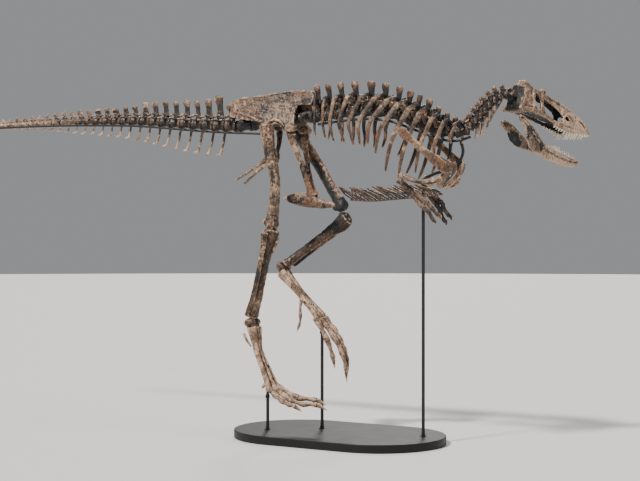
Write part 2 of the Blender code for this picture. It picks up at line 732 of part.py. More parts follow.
def make_feet():
    up = Vector((0, 1, 0))
    make_metatarsus(
        "metatarsus_right", Vector((-0.662, -0.200, 0.868)), up, Vector((-0.626, -0.200, 0.690)),
        (Vector((-0.508, -0.245, 0.430)), Vector((-0.492, -0.200, 0.428)), Vector((-0.500, -0.155, 0.434))))
    make_metatarsus(
        "metatarsus_left", Vector((-0.600, 0.150, 1.312)), up, Vector((-0.424, 0.124, 1.150)),
        (Vector((-0.236, 0.047, 0.980)), Vector((-0.226, 0.092, 0.962)), Vector((-0.220, 0.137, 0.978))))
    splint = ((-0.734, -0.252, 0.832), (-0.702, -0.256, 0.780), (-0.660, -0.256, 0.730))
    bone_tube("splint_right", splint, ((0.006, 0.016), (0.006, 0.012), (0.004, 0.005)), up, sides=4)
    make_toe("toe_2_right", ((-0.488, -0.146, 0.414), (-0.400, -0.143, 0.378), (-0.290, -0.138, 0.330),
                             (-0.130, -0.122, 0.318), (-0.040, -0.120, 0.282)), 0.024, 0.016)
    make_toe("toe_3_right", ((-0.478, -0.200, 0.404), (-0.380, -0.200, 0.345), (-0.234, -0.200, 0.292),
                             (-0.090, -0.200, 0.292), (0.022, -0.200, 0.254)), 0.025, 0.016)
    make_toe("toe_4_right", ((-0.498, -0.253, 0.402), (-0.420, -0.256, 0.345), (-0.343, -0.258, 0.300),
                             (-0.240, -0.260, 0.272), (-0.178, -0.260, 0.236)), 0.024, 0.015)
    make_toe("hallux_right", ((-0.560, -0.112, 0.432), (-0.610, -0.110, 0.424), (-0.655, -0.112, 0.380)),
             0.015, 0.011)
    make_toe("toe_2_left", ((-0.222, 0.040, 0.944), (-0.168, 0.040, 0.860), (-0.112, 0.038, 0.762),
                            (-0.070, 0.034, 0.652), (-0.050, 0.032, 0.556)), 0.024, 0.015)
    make_toe("toe_3_left", ((-0.205, 0.094, 0.935), (-0.130, 0.096, 0.850), (-0.053, 0.094, 0.744),
                            (0.011, 0.092, 0.600), (0.026, 0.092, 0.446)), 0.025, 0.016)
    make_toe("toe_4_left", ((-0.200, 0.148, 0.948), (-0.120, 0.150, 0.860), (-0.056, 0.150, 0.765),
                            (-0.008, 0.150, 0.650), (0.010, 0.150, 0.530)), 0.024, 0.015)
    make_toe("hallux_left", ((-0.365, 0.036, 1.100), (-0.378, 0.040, 1.020), (-0.380, 0.042, 0.930),
                             (-0.412, 0.044, 0.838)), 0.014, 0.011)


# ---------------------------------------------------------------- arms
def make_arm(side):
    word = side_name(side)
    scapula = mirrored(((0.684, 0.262, 2.408), (0.760, 0.256, 2.338), (0.845, 0.240, 2.266),
                        (0.935, 0.205, 2.185), (0.998, 0.166, 2.128)), side)
    sizes = ((0.006, 0.046), (0.007, 0.034), (0.008, 0.030), (0.012, 0.040), (0.014, 0.040))
    bone_tube("scapula_" + word, scapula, sizes, (0.25, 1, 0), sides=6)
    coracoid = mirrored(((1.006, 0.150, 2.118), (1.040, 0.100, 2.160), (1.047, 0.052, 2.172),
                         (1.012, 0.046, 2.060), (0.912, 0.050, 1.980), (0.905, 0.092, 2.010),
                         (0.975, 0.146, 2.085)), side)
    plate("coracoid_" + word, coracoid, (0.014, 0, -0.014))
    humerus = mirrored(((0.976, 0.160, 2.050), (0.922, 0.176, 2.026), (0.806, 0.196, 2.022),
                        (0.705, 0.206, 2.056), (0.655, 0.208, 2.074)), side)
    sizes = ((0.020, 0.030), (0.020, 0.028), (0.016, 0.020), (0.019, 0.024), (0.022, 0.026))
    bone_tube("humerus_" + word, humerus, sizes, (0, 1, 0), sides=6)
    for bone, out, fore in (("ulna", 0.018, -0.008), ("radius", -0.010, 0.014)):
        points = mirrored(((0.640 + fore, 0.196 + out, 2.036), (0.678 + fore, 0.176 + out, 1.998),
                           (0.718 + fore, 0.152 + out, 1.958)), side)
        bone_tube(bone + "_" + word, points, ((0.012, 0.015), (0.009, 0.010), (0.011, 0.012)),
                  (0, 1, 0), sides=6)
    make_hand(side)


def make_hand(side):
    """Palm with two fingers ending in claws."""
    solid = Solid()
    across = Vector((0.75, 0, 0.66)).normalized()
    inner = Vector((0, side, 0))
    rings = []
    for centre, half_wide, half_thick in (((0.738, 0.150, 1.936), 0.022, 0.014),
                                          ((0.780, 0.146, 1.894), 0.026, 0.012),
                                          ((0.822, 0.142, 1.858), 0.030, 0.012)):
        middle = Vector((centre[0], side * centre[1], centre[2]))
        row = (-1.0, 0.0, 1.0)
        ring = [middle + across * half_wide * step + inner * half_thick for step in row]
        ring += [middle + across * half_wide * step - inner * half_thick for step in reversed(row)]
        rings.append(solid.ring(ring))
    solid.tube(rings)
    solid.cap(rings[0])
    last = rings[-1]
    back = 0.0 if side == RIGHT else 0.030
    fingers = (
        ((0.862 - back, 0.136, 1.790), (0.892 - back, 0.130, 1.735), (0.916 - back, 0.126, 1.695)),
        ((0.888 - back, 0.138, 1.822), (0.930 - back, 0.132, 1.775), (0.960 - back, 0.126, 1.732)),
    )
    for number, finger in enumerate(fingers):
        face = [last[number], last[number + 1], last[4 - number], last[5 - number]]
        points = [Vector((x, side * y, z)) for x, y, z in finger]
        solid.grow(face, across, points, ((0.010, 0.009), (0.009, 0.008), (0.003, 0.003)))
    solid.finish("hand_" + side_name(side), BONE)


# ---------------------------------------------------------------- belly ribs
GASTRALIA_ROWS = 15
GASTRALIA_REAR = 0.1225
GASTRALIA_SPACING = 0.0550
GASTRALIA_SWEEP = 0.110
GASTRALIA_FIRST_TIP = 0.066


def make_gastralia():
    """Keel along the belly with thin ribs rising to each side."""
    solid = Solid()
    rings = []
    branches = {}
    for row in range(GASTRALIA_ROWS):
        x = GASTRALIA_REAR + row * GASTRALIA_SPACING
        z = blend(x, ((0.06, 1.905), (0.30, 1.890), (0.60, 1.905), (0.90, 1.930)))
        for end in (-0.012, 0.012):
            ring = ((x + end, 0.012, z), (x + end, 0, z + 0.008), (x + end, -0.012, z), (x + end, 0, z - 0.008))
            rings.append(solid.ring(ring))
        segment = len(rings) - 2
        reach = blend(row, ((0, 0.100), (6, 0.115), (14, 0.085)))
        rise = blend(row, ((0, 0.095), (7, 0.090), (14, 0.070)))
        for face_side, side in ((0, LEFT), (1, RIGHT)):
            sweep = min(GASTRALIA_SWEEP, x - GASTRALIA_FIRST_TIP)
            middle = Vector((x - 0.45 * sweep, side * reach * 0.5, z + rise * 0.36))
            tip = Vector((x - sweep, side * reach, z + rise))
            branches[(segment, face_side)] = (
                lambda face, points=(middle, tip):
                solid.grow(face, Vector((1, 0, 0)), points, ((0.006, 0.005), (0.0035, 0.003)))
            )
    solid.close(rings, branches)
    solid.finish("gastralia", BONE)


# ---------------------------------------------------------------- head
class Head:
    """Skull space: forward along the jaw line, left and up."""

    origin = Vector((1.362, 0.357, 2.671))
    forward = Vector((math.cos(HEAD_YAW) * math.cos(HEAD_PITCH),
                      math.sin(HEAD_YAW) * math.cos(HEAD_PITCH), -math.sin(HEAD_PITCH)))
    left = Vector((-math.sin(HEAD_YAW), math.cos(HEAD_YAW), 0))
    up = forward.cross(left)

    @classmethod
    def point(cls, forward, left, up):
        return cls.origin + cls.forward * forward + cls.left * left + cls.up * up


SKULL_TOP = ((-0.030, 0.100), (0.020, 0.150), (0.050, 0.140), (0.090, 0.120), (0.215, 0.118),
             (0.286, 0.096), (0.350, 0.098), (0.555, 0.076), (0.655, 0.060), (0.725, 0.022), (0.768, -0.018))
SKULL_BOTTOM = ((-0.030, -0.060), (0.000, -0.100), (0.100, -0.086), (0.300, -0.090), (0.380, -0.106),
                (0.520, -0.108), (0.690, -0.062), (0.768, -0.044))
SKULL_WIDE_TOP = ((-0.030, 0.030), (0.060, 0.060), (0.200, 0.066), (0.300, 0.040), (0.600, 0.026), (0.768, 0.012))
SKULL_WIDE_LOW = ((-0.030, 0.060), (0.020, 0.112), (0.120, 0.115), (0.300, 0.090), (0.500, 0.066),
                  (0.700, 0.044), (0.768, 0.016))
SKULL_STATIONS = (-0.030, 0.020, 0.090, 0.150, 0.215, 0.286, 0.380, 0.470, 0.555, 0.655, 0.725, 0.768)


def skull_ring(forward, shrink_wide, shrink_high, floor_drop=0.0):
    top = blend(forward, SKULL_TOP) - shrink_high
    bottom = blend(forward, SKULL_BOTTOM) + shrink_high - floor_drop
    wide_top = blend(forward, SKULL_WIDE_TOP) - shrink_wide
    wide_low = blend(forward, SKULL_WIDE_LOW) - shrink_wide
    middle = bottom + 0.35 * (top - bottom)
    shape = ((wide_top, top), (wide_low, middle), (wide_low * 0.92, bottom))
    right = [Head.point(forward, -wide, high) for wide, high in reversed(shape)]
    return [Head.point(forward, wide, high) for wide, high in shape] + right


def loft(name, rings):
    solid = Solid()
    solid.close([solid.ring(ring) for ring in rings])
    return solid.finish(name, BONE)


def prisms(name, outlines, reach=0.20):
    """Cutters through the whole width of the skull, one for each outline."""
    solid = Solid()
    for outline in outlines:
        left = solid.ring([Head.point(a, reach, b) for a, b in outline])
        right = solid.ring([Head.point(a, -reach, b) for a, b in outline])
        solid.bridge(left, right)
        solid.cap(left)
        solid.cap(right)
    return solid.finish(name, BONE)


def combine(body, other, operation):
    """Cut or add another body for good, then drop it."""
    step = body.modifiers.new("step", "BOOLEAN")
    step.operation = operation
    step.solver = "EXACT"
    step.object = other
    other.hide_render = True
    other.display_type = "WIRE"
    bpy.context.view_layer.update()
    scene_state = bpy.context.evaluated_depsgraph_get()
    made = bpy.data.meshes.new_from_object(body.evaluated_get(scene_state))
    body.modifiers.clear()
    old = body.data
    body.data = made
    bpy.data.meshes.remove(old)
    bpy.data.objects.remove(other)


def oval(centre, half_long, half_high, lean=0.0, count=8):
    points = []
    for step in range(count):
        turn = 2 * math.pi * (step + 0.5) / count
        high = half_high * math.sin(turn)
        points.append((centre[0] + half_long * math.cos(turn) + lean * high, centre[1] + high))
    return points


def make_skull():
    skull = loft("skull", [skull_ring(station, 0.0, 0.0) for station in SKULL_STATIONS])
    hollow = [skull_ring(station, 0.016, 0.022) for station in (0.105, 0.160, 0.215, 0.286, 0.380, 0.470, 0.560)]
    combine(skull, loft("hollow", hollow), "DIFFERENCE")
    orbit = oval((0.139, 0.014), 0.030, 0.066, lean=-0.30)
    temporal = oval((0.048, -0.010), 0.018, 0.050, lean=-0.30)
    antorbital = ((0.200, 0.056), (0.300, 0.044), (0.392, 0.022), (0.442, -0.016), (0.420, -0.046),
                  (0.345, -0.058), (0.240, -0.040), (0.214, -0.004))
    maxillary = oval((0.490, 0.004), 0.024, 0.020, count=6)
    naris = oval((0.655, 0.022), 0.036, 0.015, lean=-0.8, count=6)
    combine(skull, prisms("openings", (orbit, temporal, antorbital, maxillary, naris)), "DIFFERENCE")
    combine(skull, make_upper_teeth(), "UNION")


def tooth(solid, root, tip, along, half_long, half_wide):
    """Four-sided cone from above the jaw edge to its tip."""
    across = along.cross(tip - root).normalized()
    base = solid.ring([root + along * half_long, root + across * half_wide,
                       root - along * half_long, root - across * half_wide])
    point = solid.ring([tip])[0]
    for index in range(4):
        solid.faces.append([base[index], base[(index + 1) % 4], point])
    solid.cap(base)


UPPER_TEETH = 13


def make_upper_teeth():
    solid = Solid()
    for number in range(UPPER_TEETH):
        forward = 0.372 + number * 0.0298
        length = blend(number, ((0, 0.024), (3, 0.048), (6, 0.046), (9, 0.034), (12, 0.022)))
        high = blend(forward, SKULL_BOTTOM)
        wide = blend(forward, SKULL_WIDE_LOW) * 0.92 - 0.009
        for side in (RIGHT, LEFT):
            root = Head.point(forward, side * wide, high + 0.008)
            tip = Head.point(forward - 0.010, side * wide, high - length)
            tooth(solid, root, tip, Head.forward, 0.0095, 0.006)
    return solid.finish("upper_teeth", PALE_BONE)


JAW_TOP = ((-0.004, -0.142), (0.045, -0.146), (0.141, -0.190), (0.229, -0.233), (0.304, -0.276),
           (0.435, -0.283), (0.577, -0.285), (0.690, -0.276))
JAW_BOTTOM = ((-0.004, -0.180), (0.045, -0.205), (0.075, -0.236), (0.140, -0.350), (0.229, -0.367),
              (0.391, -0.364), (0.482, -0.364), (0.628, -0.344), (0.690, -0.300))
LEFT_JAW_TOP_SHIFT = ((-0.004, -0.035), (0.045, -0.017), (0.100, 0.0))
LEFT_JAW_BOTTOM_SHIFT = ((-0.004, -0.020), (0.045, -0.030), (0.100, -0.004), (0.160, 0.036),
                         (0.330, 0.045), (0.500, 0.032), (0.690, 0.0))
LOWER_TEETH = 12
JAW_TIP = 0.690


def jaw_side(forward):
    return blend(forward, ((0.0, 0.105), (0.15, 0.100), (0.45, 0.056), (0.64, 0.026), (0.69, 0.018)))


def make_mandible(side):
    """One side of the lower jaw with its teeth; the left one is rolled in and lower at the back."""
    solid = Solid()
    top_shift = LEFT_JAW_TOP_SHIFT if side == LEFT else ((0.0, 0.0),)
    bottom_shift = LEFT_JAW_BOTTOM_SHIFT if side == LEFT else ((0.0, 0.0),)
    stations = [-0.004, 0.045, 0.090, 0.160, 0.250, 0.330]
    pitch = 0.0270
    for number in range(LOWER_TEETH):
        centre = 0.360 + number * pitch
        stations += [centre - 0.0085, centre + 0.0085]
    stations = [station for station in stations if station < JAW_TIP] + [JAW_TIP]
    rings = []
    for station in stations:
        half = blend(station, ((0.0, 0.013), (0.10, 0.014), (0.35, 0.016), (0.60, 0.015), (0.65, 0.010)))
        middle = jaw_side(station)
        top = blend(station, JAW_TOP) + blend(station, top_shift)
        bottom = blend(station, JAW_BOTTOM) + blend(station, bottom_shift)
        shape = ((middle + half * 0.8, top), (middle + half, bottom + 0.4 * (top - bottom)),
                 (middle + half * 0.5, bottom), (middle - half * 0.6, bottom), (middle - half * 0.8, top))
        rings.append(solid.ring([Head.point(station, side * max(CUT, wide), high) for wide, high in shape]))
    branches = {}
    first_tooth = stations.index(0.360 - 0.0085)
    for number in range(LOWER_TEETH):
        segment = first_tooth + 2 * number
        if segment >= len(rings) - 1:
            break
        centre = 0.360 + number * pitch
        length = blend(number, ((0, 0.018), (4, 0.040), (8, 0.034), (10, 0.020)))
        tip = Head.point(centre - 0.006, side * jaw_side(centre), blend(centre, JAW_TOP) + length)
        branches[(segment, 4)] = (
            lambda face, tip=tip: solid.grow(face, Head.forward, (tip,), ((0.0015, 0.0015),))
        )
    solid.close(rings, branches)
    solid.finish("mandible_" + side_name(side), BONE)


# ---------------------------------------------------------------- stand
def make_plinth():
    solid = Solid()
    half_length = PLINTH_LENGTH / 2
    half_width = PLINTH_WIDTH / 2
    levels = ((0.0, 0.0), (0.0, PLINTH_HEIGHT - PLINTH_BEVEL), (PLINTH_BEVEL, PLINTH_HEIGHT))
    rings = [solid.ring(oval_ring(half_length - inset, half_width - inset, z)) for inset, z in levels]
    solid.close(rings)
    solid.finish("plinth", BLACK, roughness=0.35)


def oval_ring(half_length, half_width, z, steps=12):
    """Straight sides with half-round ends."""
    straight = half_length - half_width
    points = []
    for end, start in ((1, -90), (-1, 90)):
        for step in range(steps + 1):
            turn = math.radians(start + 180 * step / steps)
            points.append((end * straight + half_width * math.cos(turn), half_width * math.sin(turn), z))
    return points


def make_post(name, place, top):
    x, y = place
    points = ((x, y, PLINTH_HEIGHT + CUT), (x, y, top))
    solid = Solid()
    rings = []
    for point in points:
        ring = []
        for step in range(10):
            turn = 2 * math.pi * step / 10
            ring.append((x + POST_RADIUS * math.cos(turn), y + POST_RADIUS * math.sin(turn), point[2]))
        rings.append(solid.ring(ring))
    solid.close(rings)
    solid.finish(name, STEEL, metallic=0.6, roughness=0.4)


def rod(name, points, radius, sides=8):
    sizes = [(radius, radius)] * len(points)
    body = bone_tube(name, points, sizes, (0, 1, 0), sides=sides, colour=STEEL)
    return body


def make_armature():
    make_post("post_right_foot", RIGHT_POST, RIGHT_POST_TOP)
    make_post("post_left_foot", LEFT_POST, LEFT_POST_TOP)
    make_post("post_front", FRONT_POST, FRONT_POST_TOP)
    x, y = FRONT_POST
    arch = Path([(x, y, FRONT_POST_TOP + 0.008), (x + 0.015, y, 2.060), (0.820, 0.092, 2.100),
                 (0.940, 0.086, 2.120), (1.015, 0.080, 2.180), (1.046, 0.076, 2.250), (1.038, 0.070, 2.318)])
    rod("tube_front", [arch.at(arch.length * step / 9) for step in range(10)], ROD_RADIUS, sides=6)
    tail_steps = 12
    rod_points = []
    for step in range(tail_steps + 1):
        distance = -0.24 + (TAIL_PATH.length + 0.10) * step / tail_steps
        index = max(0.0, distance / 0.0965)
        radius = caudal_radius(index)
        point = TAIL_PATH.at(distance)
        rod_points.append((point.x, -0.5 * radius - ROD_RADIUS - 0.003, point.z - 0.9 * radius - ROD_RADIUS))
    rod("rod_tail", rod_points, ROD_RADIUS, sides=6)
    trunk_points = []
    for step in range(13):
        distance = 0.02 + (NECK_START - 0.04) * step / 12
        frame = trunk_frame(distance)
        trunk_points.append(frame.point(0, 0, -0.9 * 0.048 - ROD_RADIUS - 0.005))
    rod("rod_trunk", trunk_points, ROD_RADIUS, sides=6)


def main():
    for thing in list(bpy.data.objects):
        bpy.data.objects.remove(thing)
    make_plinth()
    make_armature()
    for number in range(CAUDALS // CAUDALS_PER_NODE):
        make_tail(number)
    make_sacrum()
    make_neck("neck", 0, 7, BONE)
    make_neck("atlas_axis", 7, CERVICALS, BLACK_BONE)
    for side in (RIGHT, LEFT):
        make_rib_cage(side)
        make_ilium(side)
        make_pubis(side)
        make_ischium(side)
        make_arm(side)
        make_mandible(side)
    make_right_leg()
    make_left_leg()
    make_feet()
    make_gastralia()
    make_skull()


main()
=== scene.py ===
"""Finish of a mounted skeleton of a young tyrannosaur: bones, steel, plinth, floor, light and camera.

Metres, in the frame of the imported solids. The numbers below are measured from the plinth's centre
and every finished piece is then moved by SHIFT. +X is forward, +Y the animal's left, +Z up.
"""
import math
import random

import bmesh
import bpy
import numpy as np
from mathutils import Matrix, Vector


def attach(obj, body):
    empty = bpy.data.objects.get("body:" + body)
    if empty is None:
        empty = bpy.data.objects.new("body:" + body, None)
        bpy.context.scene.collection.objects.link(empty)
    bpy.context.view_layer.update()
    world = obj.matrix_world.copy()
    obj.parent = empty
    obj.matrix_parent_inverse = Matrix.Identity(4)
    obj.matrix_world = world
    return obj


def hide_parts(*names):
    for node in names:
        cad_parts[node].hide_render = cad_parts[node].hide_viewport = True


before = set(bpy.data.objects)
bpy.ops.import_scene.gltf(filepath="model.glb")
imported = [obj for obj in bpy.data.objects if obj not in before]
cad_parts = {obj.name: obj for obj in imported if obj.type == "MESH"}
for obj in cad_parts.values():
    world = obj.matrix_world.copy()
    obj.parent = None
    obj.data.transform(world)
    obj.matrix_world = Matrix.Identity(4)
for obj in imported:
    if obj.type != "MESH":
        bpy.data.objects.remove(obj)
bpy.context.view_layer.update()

bl_info = {
    "name": "Mounted tyrannosaur skeleton",
    "version": (1, 0, 0),
    "blender": (4, 5, 0),
    "location": "3D View > Sidebar > Skeleton",
    "description": "Builds the bones, the steel mount, the plinth and the studio of a museum skeleton",
    "category": "Object",
}

SHIFT = Vector((-1.352, 0.23, 0.0))
RIGHT = -1
LEFT = 1
SIDES = (RIGHT, LEFT)
WORDS = {RIGHT: "right", LEFT: "left"}
SIDE = Vector((0, 1, 0))

# ---------------------------------------------------------------- curves and frames


def blend(value, stops):
    """Straight-line value between (position, value) stops."""
    if value <= stops[0][0]:
        return stops[0][1]
    for (low, low_value), (high, high_value) in zip(stops, stops[1:]):
        if value <= high:
            return low_value + (high_value - low_value) * (value - low) / (high - low)
    return stops[-1][1]


def between(near, share):
    """Smooth value between the middle two of four values."""
    before, first, second, after = near
    return 0.5 * (2 * first + (second - before) * share
                  + (2 * before - 5 * first + 4 * second - after) * share ** 2
                  + (3 * first - before - 3 * second + after) * share ** 3)


def flow(values, steps):
    """Smooth run of vectors through the given ones, with steps between each pair."""
    values = [Vector(value) for value in values]
    if len(values) < 3:
        return [values[0].lerp(values[-1], step / steps) for step in range(steps + 1)]
    ends = [2 * values[0] - values[1]] + values + [2 * values[-1] - values[-2]]
    run = []
    for index in range(1, len(ends) - 2):
        run += [between(ends[index - 1:index + 3], step / steps) for step in range(steps)]
    return run + [values[-1]]


class Path:
    """Smooth curve through points, read by distance along it."""

    def __init__(self, points):
        self.points = flow(points, 12)
        self.distances = [0.0]
        for first, second in zip(self.points, self.points[1:]):
            self.distances.append(self.distances[-1] + (second - first).length)
        self.length = self.distances[-1]

    def at(self, distance):
        if distance <= 0.0:
            return self.points[0] + distance * (self.points[1] - self.points[0]).normalized()
        if distance >= self.length:
            extra = distance - self.length
            return self.points[-1] + extra * (self.points[-1] - self.points[-2]).normalized()
        return blend(distance, list(zip(self.distances, self.points)))

    def direction(self, distance):
        return (self.at(distance + 0.01) - self.at(distance - 0.01)).normalized()


class Frame:
    """Place on a level path: forward, left and up of that place."""

    def __init__(self, origin, forward):
        self.origin = origin
        self.forward = forward.normalized()
        self.left = Vector((0, 0, 1)).cross(self.forward).normalized()
        self.up = self.forward.cross(self.left)

    def point(self, forward, left, up):
        return self.origin + self.forward * forward + self.left * left + self.up * up


class Shaft:
    """Place at a share of the length of a leg bone: along it, outward and to its front."""

    def __init__(self, points, share, side):
        path = Path(points)
        self.origin = path.at(path.length * share)
        self.along = path.direction(path.length * share)
        self.out = SIDE * side
        self.front = self.along.cross(SIDE).normalized()

    def point(self, along, out, front):
        return self.origin + self.along * along + self.out * out + self.front * front


# ---------------------------------------------------------------- modelling by hand


def only(piece):
    bpy.ops.object.select_all(action="DESELECT")
    piece.select_set(True)
    bpy.context.view_layer.objects.active = piece


def begin(name):
    """New empty piece at the origin, open for editing."""
    bpy.ops.object.select_all(action="DESELECT")
    bpy.ops.object.add(type="MESH", location=(0, 0, 0))
    piece = bpy.context.object
    piece.name = name
    piece.data.name = name
    bpy.ops.object.mode_set(mode="EDIT")
    return piece


def end(piece):
    """Turn every face outwards and leave editing."""
    bpy.ops.mesh.select_all(action="SELECT")
    bpy.ops.mesh.normals_make_consistent(inside=False)
    bpy.ops.object.mode_set(mode="OBJECT")
    return piece


def place_ring(corners):
    """Move the selected ring of points to its corners."""
    mesh = bpy.context.object.data
    work = bmesh.from_edit_mesh(mesh)
    ring = [vert for vert in work.verts if vert.select]
    for vert, corner in zip(ring, corners):
        vert.co = corner
    bmesh.update_edit_mesh(mesh)


def sweep(rings):
    """Disc shaped as the first ring and extruded from ring to ring."""
    bpy.ops.mesh.primitive_circle_add(vertices=len(rings[0]), radius=0.01, fill_type="NGON",
                                      location=rings[0][0])
    place_ring(rings[0])
    for before, here in zip(rings, rings[1:]):
        step = here[0] - before[0]
        bpy.ops.mesh.extrude_region_move(TRANSFORM_OT_translate={"value": step})
        place_ring(here)


def turns(count, start=0.0):
    """Angles of evenly spaced corners around a circle."""
    return [2 * math.pi * (step + start) / count for step in range(count)]


# How far a rounded end is drawn out and the size of its ring, as shares of the last size.
CAP_REACH = 0.4
CAP_SIZE = 0.62


def limb(points, sizes, side_axis, sides, steps, rounded=True):
    """Bone blank through points, with (along side_axis, across it) half sizes."""
    points = flow(points, steps)
    sizes = flow([(a, b, 0) for a, b in sizes], steps)
    if rounded:
        first = (points[0] - points[1]).normalized()
        last = (points[-1] - points[-2]).normalized()
        start_size = min(sizes[0][0], sizes[0][1])
        end_size = min(sizes[-1][0], sizes[-1][1])
        points = ([points[0] + first * CAP_REACH * start_size] + points
                  + [points[-1] + last * CAP_REACH * end_size])
        sizes = [sizes[0] * CAP_SIZE] + sizes + [sizes[-1] * CAP_SIZE]
    rings = []
    for index, (here, size) in enumerate(zip(points, sizes)):
        along = (points[min(index + 1, len(points) - 1)] - points[max(index - 1, 0)]).normalized()
        other = along.cross(Vector(side_axis)).normalized()
        side = other.cross(along)
        rings.append([here + side * size[0] * math.cos(turn) + other * size[1] * math.sin(turn)
                      for turn in turns(sides, 0.5)])
    sweep(rings)


def plate(inner, outer):
    """Flat bone between an inner and an outer outline."""
    sweep([[Vector(point) for point in inner], [Vector(point) for point in outer]])


def joined(pieces):
    """One object out of several."""
    bpy.ops.object.select_all(action="DESELECT")
    for piece in pieces:
        piece.select_set(True)
    bpy.context.view_layer.objects.active = pieces[0]
    if len(pieces) > 1:
        bpy.ops.object.join()
    return pieces[0]


def apply(piece, kind, **settings):
    """Add a modifier with its settings and apply it."""
    only(piece)
    step = piece.modifiers.new("step", kind)
    for name, value in settings.items():
        setattr(step, name, value)
    bpy.ops.object.modifier_apply(modifier=step.name)


# Sizes of the clouds that weather a bone.
COARSE_CLOUDS = 0.05
FINE_CLOUDS = 0.02


def weather(piece, scale, strength):
    """Raise and lower the surface with an even cloud pattern."""
    pattern = bpy.data.textures.new("pattern", "CLOUDS")
    pattern.noise_scale = scale
    pattern.noise_depth = 2
    apply(piece, "DISPLACE", texture=pattern, texture_coords="LOCAL", strength=strength, mid_level=0.5)
    bpy.data.textures.remove(pattern)


def carve(piece, voxel, smooth, rough=0.0035):
    """Fuse the blanks of a bone into one weathered surface."""
    sizes = bpy.context.scene.skeleton_sizes
    apply(piece, "REMESH", mode="VOXEL", voxel_size=voxel * sizes.fineness)
    apply(piece, "SMOOTH", factor=0.5, iterations=smooth)
    weather(piece, COARSE_CLOUDS, 2.0 * rough * sizes.roughness)
    weather(piece, FINE_CLOUDS, rough * sizes.roughness)


# ---------------------------------------------------------------- colour patches


def mesh_values(mesh, name):
    """The places or normals of a mesh's points, as rows of three numbers."""
    values = np.empty(len(mesh.vertices) * 3)
    mesh.vertices.foreach_get(name, values)
    return values.reshape(-1, 3)


RELIEF_ROUNDS = 7
RELIEF_CONTRAST = 0.2
PATCH_STEEPNESS = 1.6


def relief(mesh, places):
    """0 in the hollows, 0.5 on the flats and 1 on the ridges of a mesh, for painted shade in the hollows and
    a painted highlight on the ridges.
    """
    count = len(places)
    edges = np.empty(len(mesh.edges) * 2, dtype=np.int64)
    mesh.edges.foreach_get("vertices", edges)
    edges = edges.reshape(-1, 2)
    one, two = edges[:, 0], edges[:, 1]
    links = np.maximum(1, np.bincount(one, minlength=count) + np.bincount(two, minlength=count))

    def around(field):
        return (np.bincount(one, field[two], count) + np.bincount(two, field[one], count)) / links

    normals = mesh_values(mesh, "normal")
    bulge = sum((places[:, axis] - around(places[:, axis])) * normals[:, axis] for axis in range(3))
    for _ in range(RELIEF_ROUNDS):
        bulge = 0.5 * bulge + 0.5 * around(bulge)
    return np.clip(0.5 + RELIEF_CONTRAST * (bulge - bulge.mean()) / (bulge.std() + 1e-9), 0.0, 1.0)


# How much paler or darker each bone is than the others, before its patches.
BASE_PALENESS = {
    "tail": -0.6, "trunk": -0.4, "ribs": -0.4, "neck": -0.45, "sacrum": -0.3, "ilium": -0.68,
    "pubis": -0.5, "ischium": -0.5, "femur_left": -0.6, "tibia_left": -0.8, "tibia_right": -0.35,
    "fibula": -0.2, "scapula": -0.1, "hand": -0.45, "belly": -0.45, "skull": 0.35, "mandible": 0.25,
    "metatarsus": 0.3, "toe": 0.2,
}


def tone(piece, patches, base=(0.0, 0.0, 0.0)):
    """Write how much filler, pale crust and orange each point carries.

    A patch is (centre, radius, channel, strength); channel 0 is filler, 1 pale, 2 orange, and a
    negative strength takes away. Channel 3 keeps the relief, which the finish turns into painted shade
    in the hollows and a painted highlight on the ridges.
    """
    mesh = piece.data
    places = mesh_values(mesh, "co")
    values = np.zeros((len(places), 4))
    values[:, :3] = base
    values[:, 1] += sum(share for bone, share in BASE_PALENESS.items()
                        if piece.name.startswith("bone_" + bone))
    values[:, 3] = relief(mesh, places)
    for centre, radius, channel, strength in patches:
        if not hasattr(radius, "__len__"):
            radius = (radius, radius, radius)
        far = np.sqrt((((places - np.array(centre)) / np.array(radius)) ** 2).sum(axis=1))
        near = np.clip(PATCH_STEEPNESS * (1.0 - far), 0.0, 1.0)
        if strength < 0:
            values[:, channel] *= 1.0 + strength * near
        else:
            values[:, channel] += near * np.maximum(0.0, strength - values[:, channel])
    layer = mesh.attributes.new("tone", "FLOAT_COLOR", "POINT")
    layer.data.foreach_set("color", values.ravel())


def settle(piece, slot, *nodes):
    """Give a piece its material and its place, and hide the imported parts of the nodes that it stands for,
    or of the one of its own name.
    """
    piece.location = -SHIFT
    only(piece)
    bpy.ops.object.transform_apply(location=True, rotation=False, scale=False)
    bpy.ops.object.shade_smooth()
    if not piece.data.materials:
        piece.data.materials.append(dress(slot))
    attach(piece, "root")
    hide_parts(*(nodes or [piece.name.split("_", 1)[1]]))


def finish_bone(piece, grain, patches, slot, *nodes, base=(0.0, 0.0, 0.0)):
    """Carve a bone by its (mesh size, smoothing rounds, roughness), colour it and settle it."""
    if piece.mode == "EDIT":
        end(piece)
    carve(piece, *grain)
    tone(piece, patches, base)
    settle(piece, slot, *nodes)


# ---------------------------------------------------------------- backbone
CAUDALS = 36
CAUDALS_PER_PIECE = 9
CHEVRON_CAUDALS = 28
DORSALS = 13
CERVICALS = 9
NECK_SPLIT = 7
SACRALS = 5

TAIL_PATH = Path([
    (-0.9565, 0, 2.533), (-1.26, 0, 2.555), (-1.71, 0, 2.6), (-1.94, 0, 2.621),
    (-2.26, 0, 2.639), (-2.93, 0, 2.659), (-3.63, 0, 2.664), (-4.42, 0, 2.662),
])
SACRUM_PATH = Path([(-0.95, 0, 2.533), (-0.6, 0, 2.552), (-0.21, 0, 2.572)])
TRUNK_PATH = Path([
    (-0.21, 0, 2.572), (0.13, 0, 2.595), (0.3, 0, 2.592), (0.49, 0, 2.562), (0.7, 0.008, 2.485),
    (0.9, 0.025, 2.41), (0.997, 0.036, 2.396), (1.073, 0.053, 2.409), (1.126, 0.076, 2.452),
    (1.166, 0.104, 2.512), (1.232, 0.171, 2.622), (1.296, 0.257, 2.684), (1.362, 0.357, 2.671),
])


